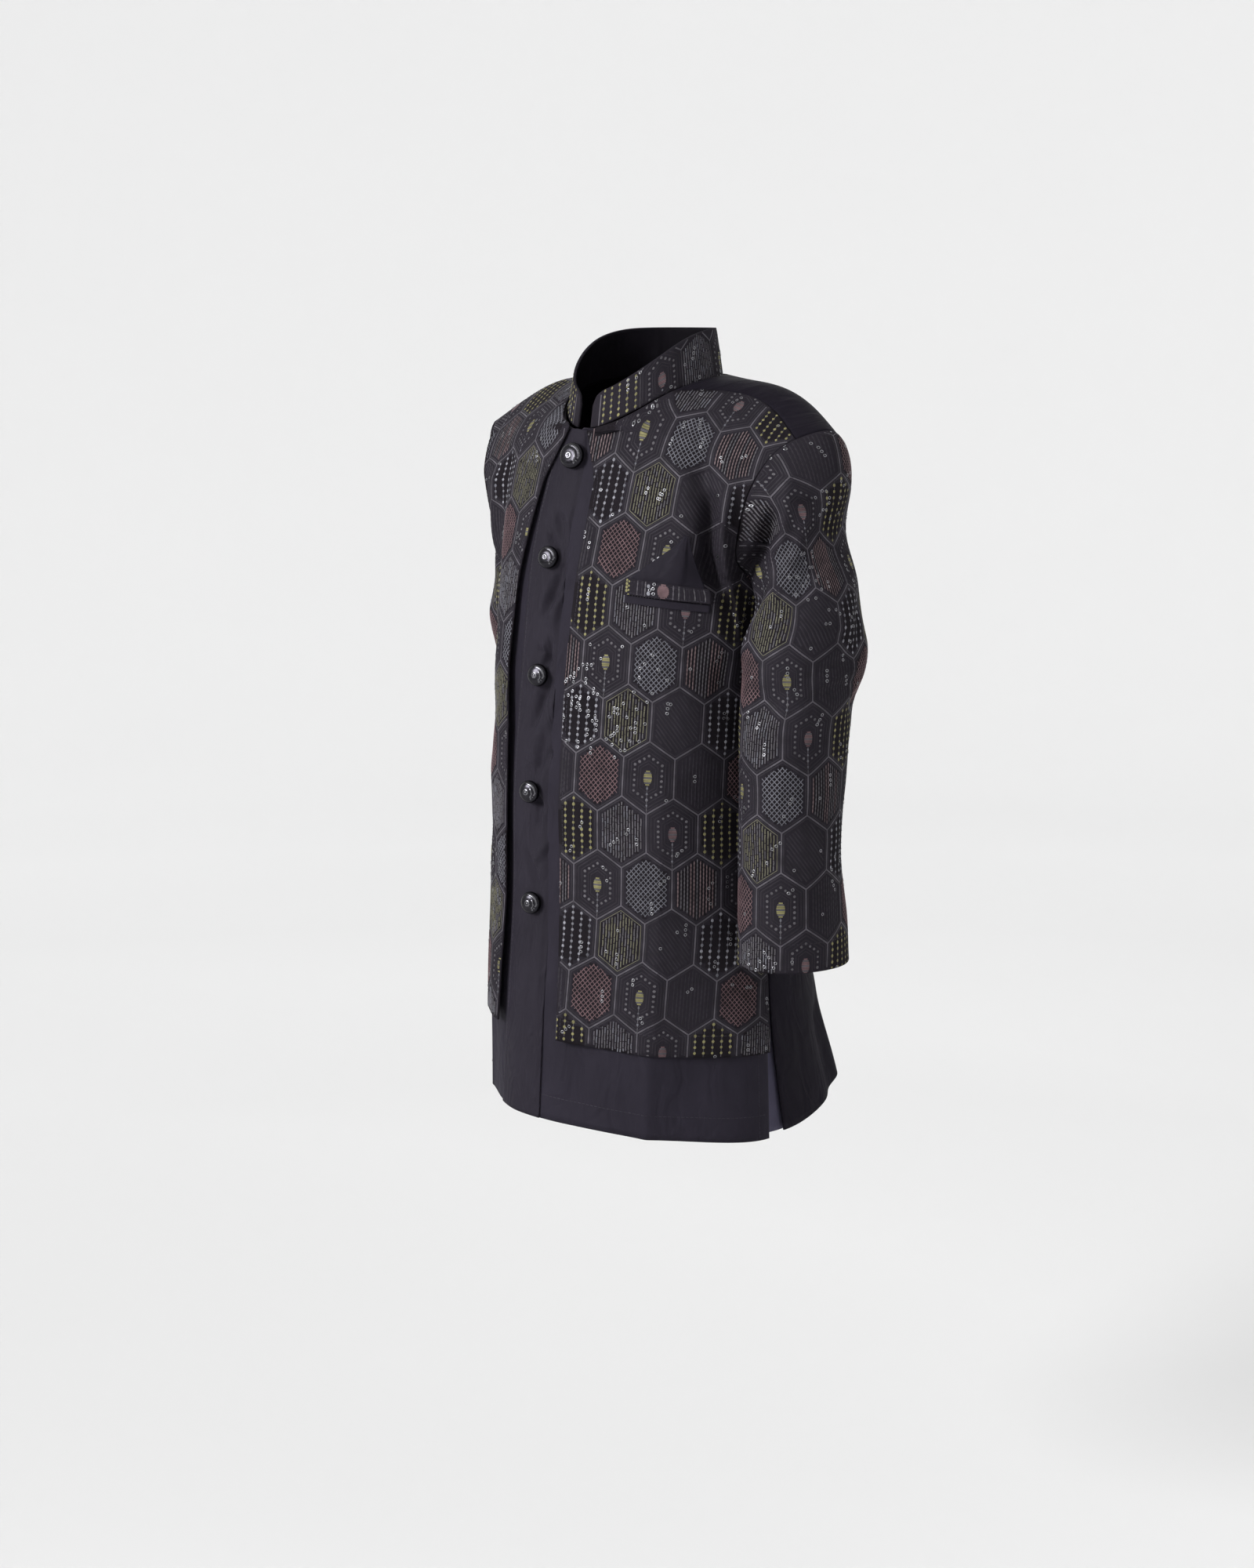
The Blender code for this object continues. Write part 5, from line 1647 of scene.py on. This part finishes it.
def button(number, row, to_right, radius):
    """A dark domed metal button on a shank, with the bright worn relief of a curled leaf, and a bright
    crescent near the rim that is a painted highlight.
    """
    u = u_at(row, -1, to_right)
    normal = form_normal(row, u, -1)
    place = form_point(row, u, -1) + normal * BUTTON_LIFT
    turn = (Matrix.Rotation(BUTTON_TURN, 3, "Z") @ normal).to_track_quat("Z", "Y")
    last = len(BUTTON_DOME) - 1
    outline = [along(BUTTON_DOME, last * (i + 1) / BUTTON_RINGS) for i in range(BUTTON_RINGS)]
    points, worn = [], []
    for i, (r, h) in enumerate(outline + list(BUTTON_UNDER)):
        for x, y in circle(r, BUTTON_SIDES):
            raised = ornament(x, y) if i < BUTTON_RINGS else 0.0
            # Raised faces take the bright metal: worn relief, and on the arc near the rim a painted highlight
            worn.append(raised > 0.45)
            height = h * BUTTON_HEIGHT + BUTTON_RELIEF * raised
            points.append(place + turn @ Vector((x * radius, y * radius, height)))
    rings = len(points) // BUTTON_SIDES
    faces = ring_faces(rings, BUTTON_SIDES)
    top = len(points)
    points.append(place + turn @ Vector((0.0, 0.0, BUTTON_HEIGHT)))
    points.append(place)
    last = (rings - 1) * BUTTON_SIDES
    for k in range(BUTTON_SIDES):
        after = (k + 1) % BUTTON_SIDES
        faces.append((k, after, top))
        faces.append((last + after, last + k, top + 1))
    shades = [int(worn[face[0]]) for face in faces]
    name = "button_%d" % number
    piece = add_mesh(name + "_metal", points, faces, [BUTTON_SHADE, BUTTON_WEAR_AND_HIGHLIGHT], indices=shades)
    register(piece, name, name)


for number, (row, to_right, radius) in enumerate(BUTTONS, 1):
    button(number, row, to_right, radius)


def chart_at(panel, point):
    """Place in a panel's chart of the point nearest to a place in space."""
    away = np.linalg.norm(panel.grid - np.array(point), axis=2)
    r, c = np.unravel_index(np.argmin(away), away.shape)
    return panel.chart[r, c]


# A cell's middle on each panel: its place in space, and its column and row in the repeat
ANCHORS = {
    ("jacket", 1): ((0.0580, -0.0932, -0.3250), 1.0, 0.0),
    ("jacket", -1): ((-0.0528, -0.1079, -0.4375), 1.5, 1.0),
    ("sleeve", 1): ((0.1627, -0.0651, -0.2475), 1.0, 0.0),
    ("sleeve", -1): ((-0.1627, 0.0200, -0.2475), 1.0, 0.0),
}
# Middles of the cells that have many sequins, in place, with their number
CLUSTERS = {
    ("jacket", 1): (
        ((0.0223, -0.0978, -0.2162), 22),
        ((0.0235, -0.1010, -0.2536), 16),
        ((0.0586, -0.0903, -0.2485), 20),
        ((0.0740, -0.0820, -0.2191), 8),
    ),
    ("jacket", -1): (((-0.0950, -0.0560, -0.2200), 14), ((-0.0700, -0.0900, -0.3700), 12)),
    ("sleeve", 1): (
        ((0.1779, -0.0318, -0.1335), 16),
        ((0.1807, -0.0051, -0.0818), 9),
        ((0.1984, -0.0176, -0.1697), 8),
        ((0.1633, -0.0711, -0.4148), 18),
        ((0.1900, 0.0300, -0.2600), 12),
    ),
    ("sleeve", -1): (((-0.1900, 0.0500, -0.1500), 14), ((-0.1700, 0.1100, -0.2800), 12)),
}
for kind, panels, seed in (("jacket", jackets, 100), ("sleeve", sleeves, 200)):
    for side, word in WORDS.items():
        panel = panels[side]
        work = Needlework(panel, seed + side)
        place, column, row = ANCHORS[kind, side]
        x, y = chart_at(panel, place)
        origin = (x - column * CELL_WIDTH, y - row * CELL_PITCH)
        embroider(work, origin)
        piece = shells[kind, side]
        # The cloth with painted shade between the threads goes in as a further material
        piece.data.materials.append(THREAD_GAP_PAINTED_SHADE)
        piece.data.materials.append(LINING_PAINTED_SHADE)
        paint_shade_between_threads(piece, panel, origin)
        for place, count in CLUSTERS[kind, side]:
            work.middle = chart_at(panel, place)
            cluster(work, count)
        work.build("%s_%s_embroidery" % (kind, word), panel.name)

# The collar's cells, from its front ends to the middle of its back
COLLAR_CELLS = ("yellow_dots", "red_medallion", "grey_chain", "yellow_medallion", "cool_hatch")
COLLAR_STEP = 0.0340
COLLAR_FIRST = 0.1550
COLLAR_MIDDLE = 0.0115
work = Needlework(collar, 300)
for k in range(5):
    for side in WORDS:
        if k < 4 or side < 0:
            x = side * (COLLAR_FIRST - k * COLLAR_STEP) if k < 4 else 0.0
            work.middle = (x, COLLAR_MIDDLE)
            LOOKS[COLLAR_CELLS[k]](work)
            sequin_run(work)
            work.middle = (x + 0.010, COLLAR_MIDDLE + 0.005)
            sequin_run(work)
cell_tip, shoulder = cell_top(0.0, 0.0), cell_top(CELL_WIDTH / 2.0, 0.0)
for k in range(-4, 5):
    x = math.copysign(COLLAR_FIRST - (4 - abs(k)) * COLLAR_STEP, k) if k else 0.0
    work.middle = (x, COLLAR_MIDDLE)
    for edge in (-0.5 * COLLAR_STEP, 0.5 * COLLAR_STEP):
        work.thread([(edge, -shoulder), (edge, shoulder)], "lattice", width=0.0010, step=0.003)
        for way in (-1, 1):
            run = [(edge, way * shoulder), (0.0, way * cell_tip)]
            work.thread(run, "lattice", width=0.0010, step=0.003)
work.build("collar_embroidery", "collar")

work = Needlework(welt, 400)
for n in range(4):
    work.knot(0.0018, -0.0016 - n * 0.0024, "yellow", 0.0009, 0.0005)
    work.knot(0.0034, -0.0022 - n * 0.0030, "yellow", 0.0007, 0.0004)
WELT_LINES = ((0.0098, "lattice"), (0.0132, "dark"), (0.0155, "grey"), (0.0350, "lattice"), (0.0385, "grey"))
for x, shade in WELT_LINES:
    work.thread([(x, -0.0006), (x, 0.0006 - WELT_HEIGHT)], shade, width=0.0009, step=0.002, links=True)
for x, y in ((0.0178, -0.0035), (0.0180, -0.0085)):
    work.knot(x, y, "white", 0.0012, 0.0006)
for x, y in ((0.0218, -0.0016), (0.0212, -0.0048), (0.0216, -0.0082), (0.0190, -0.0060)):
    work.sequin(x, y)
for k in range(-4, 5):
    half = 0.0040 * math.sqrt(max(0.08, 1.0 - (k / 4.4) ** 2))
    y = -0.0057 + k * 0.00112
    work.thread([(0.0282 - half, y), (0.0282 + half, y)], "red", width=0.0012, height=0.0005, step=0.0027)
for k in range(5):
    x = 0.0415 + k * 0.0031
    run = [(x, -0.0012), (x + 0.0006, -WELT_HEIGHT + 0.0012)]
    work.thread(run, "dark" if k % 2 else "grey", width=0.0007, step=0.002, links=True)
work.build("welt_embroidery", "pocket_welt")


def grid_run(panel, rows, columns):
    """Run of stitches through a panel's grid, along fractional row and column numbers, and its normals."""
    rows, columns = np.broadcast_arrays(np.atleast_1d(rows), np.atleast_1d(columns))
    i = np.minimum(panel.grid.shape[0] - 2, rows.astype(int))
    j = np.minimum(panel.grid.shape[1] - 2, columns.astype(int))
    found = []
    for source in (panel.grid, panel.normals):
        low = blend(source[i, j], source[i, j + 1], (columns - j)[:, None])
        high = blend(source[i + 1, j], source[i + 1, j + 1], (columns - j)[:, None])
        found.append(blend(low, high, (rows - i)[:, None]))
    return found


def edge_columns(panel, inset, from_last=False):
    """For each row, the column number that lies inset metres in from the edge."""
    found = []
    for line in panel.grid:
        marks = run_marks(line[::-1] if from_last else line)
        c = float(np.interp(inset, marks, np.arange(len(marks))))
        found.append(len(line) - 1 - c if from_last else c)
    return np.array(found)


def edge_rows(panel, inset):
    """The row number that lies inset metres up from the first row."""
    marks = run_marks(panel.grid[:, 0])
    return float(np.interp(inset, marks, np.arange(len(marks))))


SEAM_THREAD = thread_material("thread_seam", (44, 41, 49))
# How far each stitch line lies from its edge, and how far up a front two of them reach
JACKET_EDGE_INSET = 0.0035
JACKET_HEM_INSET = 0.016
KURTA_HEM_INSET = 0.018
SLIT_INSET = 0.010
CUFF_INSET = 0.020
BELOW_NECK = 0.74
SLIT_SHARE = 0.18
for side, word in WORDS.items():
    panel = jackets[side]
    inner = edge_columns(panel, JACKET_EDGE_INSET)
    below_neck = int(len(panel.grid) * BELOW_NECK)
    runs = [grid_run(panel, np.arange(below_neck), inner[:below_neck])]
    hem = edge_rows(panel, JACKET_HEM_INSET)
    runs.append(grid_run(panel, hem, np.arange(inner[0], panel.grid.shape[1] - 1.0)))
    stitches(panel, "jacket_%s_stitches" % word, runs, panel.name, SEAM_THREAD)
    panel = kurtas[side]
    runs = [grid_run(panel, edge_rows(panel, KURTA_HEM_INSET), np.arange(2.0, panel.grid.shape[1] - 1.0))]
    outer = edge_columns(panel, SLIT_INSET, from_last=True)
    slit = int(len(panel.grid) * SLIT_SHARE)
    runs.append(grid_run(panel, np.arange(slit), outer[:slit]))
    stitches(panel, "kurta_%s_stitches" % word, runs, panel.name, SEAM_THREAD)
    panel = sleeves[side]
    last = panel.grid.shape[0] - 1
    up = np.linalg.norm(panel.grid[last, 0] - panel.grid[last - 12, 0]) / 12.0
    runs = [grid_run(panel, last - CUFF_INSET / up, np.arange(panel.grid.shape[1] - 1.0))]
    stitches(panel, "sleeve_%s_stitches" % word, runs, panel.name, SEAM_THREAD)
runs = [grid_run(placket, np.arange(len(placket.grid)), edge_columns(placket, 0.0022))]
stitches(placket, "placket_stitches", runs, "kurta_placket", SEAM_THREAD)
runs = []
for inset in (0.0015, WELT_HEIGHT - 0.0012):
    runs.append(grid_run(welt, edge_rows(welt, inset), np.arange(welt.grid.shape[1] - 1.0)))
stitches(welt, "welt_stitches", runs, "pocket_welt", SEAM_THREAD, length=0.0018)


for side in WORDS:
    for kind, panels, ratio in (("jacket", jackets, 0.42), ("kurta", kurtas, 0.40), ("sleeve", sleeves, 0.75)):
        panels[side].area()
    facings[side].area()
back_halves[1].area() + back_halves[-1].area()
collar.area()
placket.area()
welt.area()
band.area()
square.area()


def studio():
    """A pale seamless bowl, its paper painted darker and lighter with distance to even out how the light falls
    on it.
    """
    sides, profile = 96, [(r, FLOOR) for r in (0.0, 1.0, 2.0, 3.0, BOWL_FLAT)]
    for i in range(1, 17):
        a = math.pi / 2.0 * i / 16.0
        profile.append((BOWL_FLAT + BOWL_CURVE * math.sin(a), FLOOR + BOWL_CURVE * (1.0 - math.cos(a))))
    profile.append((STUDIO_RADIUS, FLOOR + 5.0))
    points = [(0.0, 0.0, FLOOR)]
    for r, z in profile[1:]:
        points += [(x, y, z) for x, y in circle(r, sides)]
    faces = [(0, 1 + k, 1 + (k + 1) % sides) for k in range(sides)]
    faces += ring_faces(len(profile) - 1, sides, 1)
    paper = Nodes("studio_paper", Roughness=0.95, Specular_IOR_Level=0.05)
    where = paper.add("TexCoord", "Object")
    shades = []
    for (x, y), table in (((0.0, 0.0), PAPER_PAINTED_SHADE), (POOL, POOL_PAINTED_SHADE)):
        level = (1.0 / STUDIO_RADIUS, 1.0 / STUDIO_RADIUS, 0.0)
        start = (-x / STUDIO_RADIUS, -y / STUDIO_RADIUS, 0.0)
        beside = paper.add("VectorMath", "Vector", where, level, start, operation="MULTIPLY_ADD")
        away = paper.add("VectorMath", "Value", beside, operation="LENGTH")
        shades.append(paper.ramp(away, [(radius / STUDIO_RADIUS, (shade,) * 3) for radius, shade in table]))
    grain = paper.spread(paper.noise(where, 3.0, 2.0), 0.995, 1.005)
    paper.shader(Base_Color=paper.times(paper.times(*shades, 1.0), grain, 1.0))
    material = paper.material
    add_mesh("studio_floor", points, faces, [material])


def area_light(name, place, aim, size, energy):
    data = bpy.data.lights.new(name, "AREA")
    data.shape = "DISK"
    data.size = size
    data.energy = energy
    obj = bpy.data.objects.new(name, data)
    obj.location = place
    obj.rotation_euler = (Vector(aim) - Vector(place)).to_track_quat("-Z", "Y").to_euler()
    bpy.context.scene.collection.objects.link(obj)


FLOOR = -0.95
MIDDLE = (0.0, 0.0, -0.28)
# The studio's bowl: how far it is flat, how wide it curves up, and its whole radius
BOWL_FLAT = 3.6
BOWL_CURVE = 2.4
STUDIO_RADIUS = 6.0
SKY_STRENGTH = 0.845
# Painted shade of the paper at distances from the middle, the two ends first: darker near the garment and
# lighter far out, to even out the light
PAPER_PAINTED_SHADE = ((0.0, 0.852), (6.0, 0.96), (1.5, 0.790), (2.5, 0.840), (3.2, 0.928), (3.8, 0.96))
# Where the key light pools on the paper, and the paper's painted shade at distances from there, darkest at the
# pool to cancel it
POOL = (-0.60, -0.60)
POOL_PAINTED_SHADE = ((0.0, 0.663), (2.2, 1.0), (0.7, 0.794), (1.4, 0.935))
studio()
# Each light with its place, its width and its power
LIGHTS = (("key", (-0.66, -2.20, 0.62), 0.9, 61.0), ("rim", (-1.20, 2.00, 1.20), 1.4, 8.0))
for name, place, width, power in LIGHTS:
    area_light(name, place, MIDDLE, width, power)
world = bpy.data.worlds.new("studio_sky")
world.use_nodes = True
sky = world.node_tree.nodes["Background"].inputs
sky["Color"].default_value = (1.0, 1.0, 1.0, 1.0)
sky["Strength"].default_value = SKY_STRENGTH
bpy.context.scene.world = world
bpy.context.scene.view_settings.view_transform = "Standard"

lens = bpy.data.cameras.new("camera")
lens.sensor_width = SENSOR
lens.sensor_fit = "AUTO"
lens.lens = LENS
lens.clip_start = 0.05
lens.clip_end = 50.0
camera = bpy.data.objects.new("camera", lens)
camera.location = CAMERA_PLACE
camera.rotation_euler = (math.radians(90.0 - CAMERA_DIP), 0.0, math.radians(CAMERA_TURN))
bpy.context.scene.collection.objects.link(camera)
bpy.context.scene.camera = camera
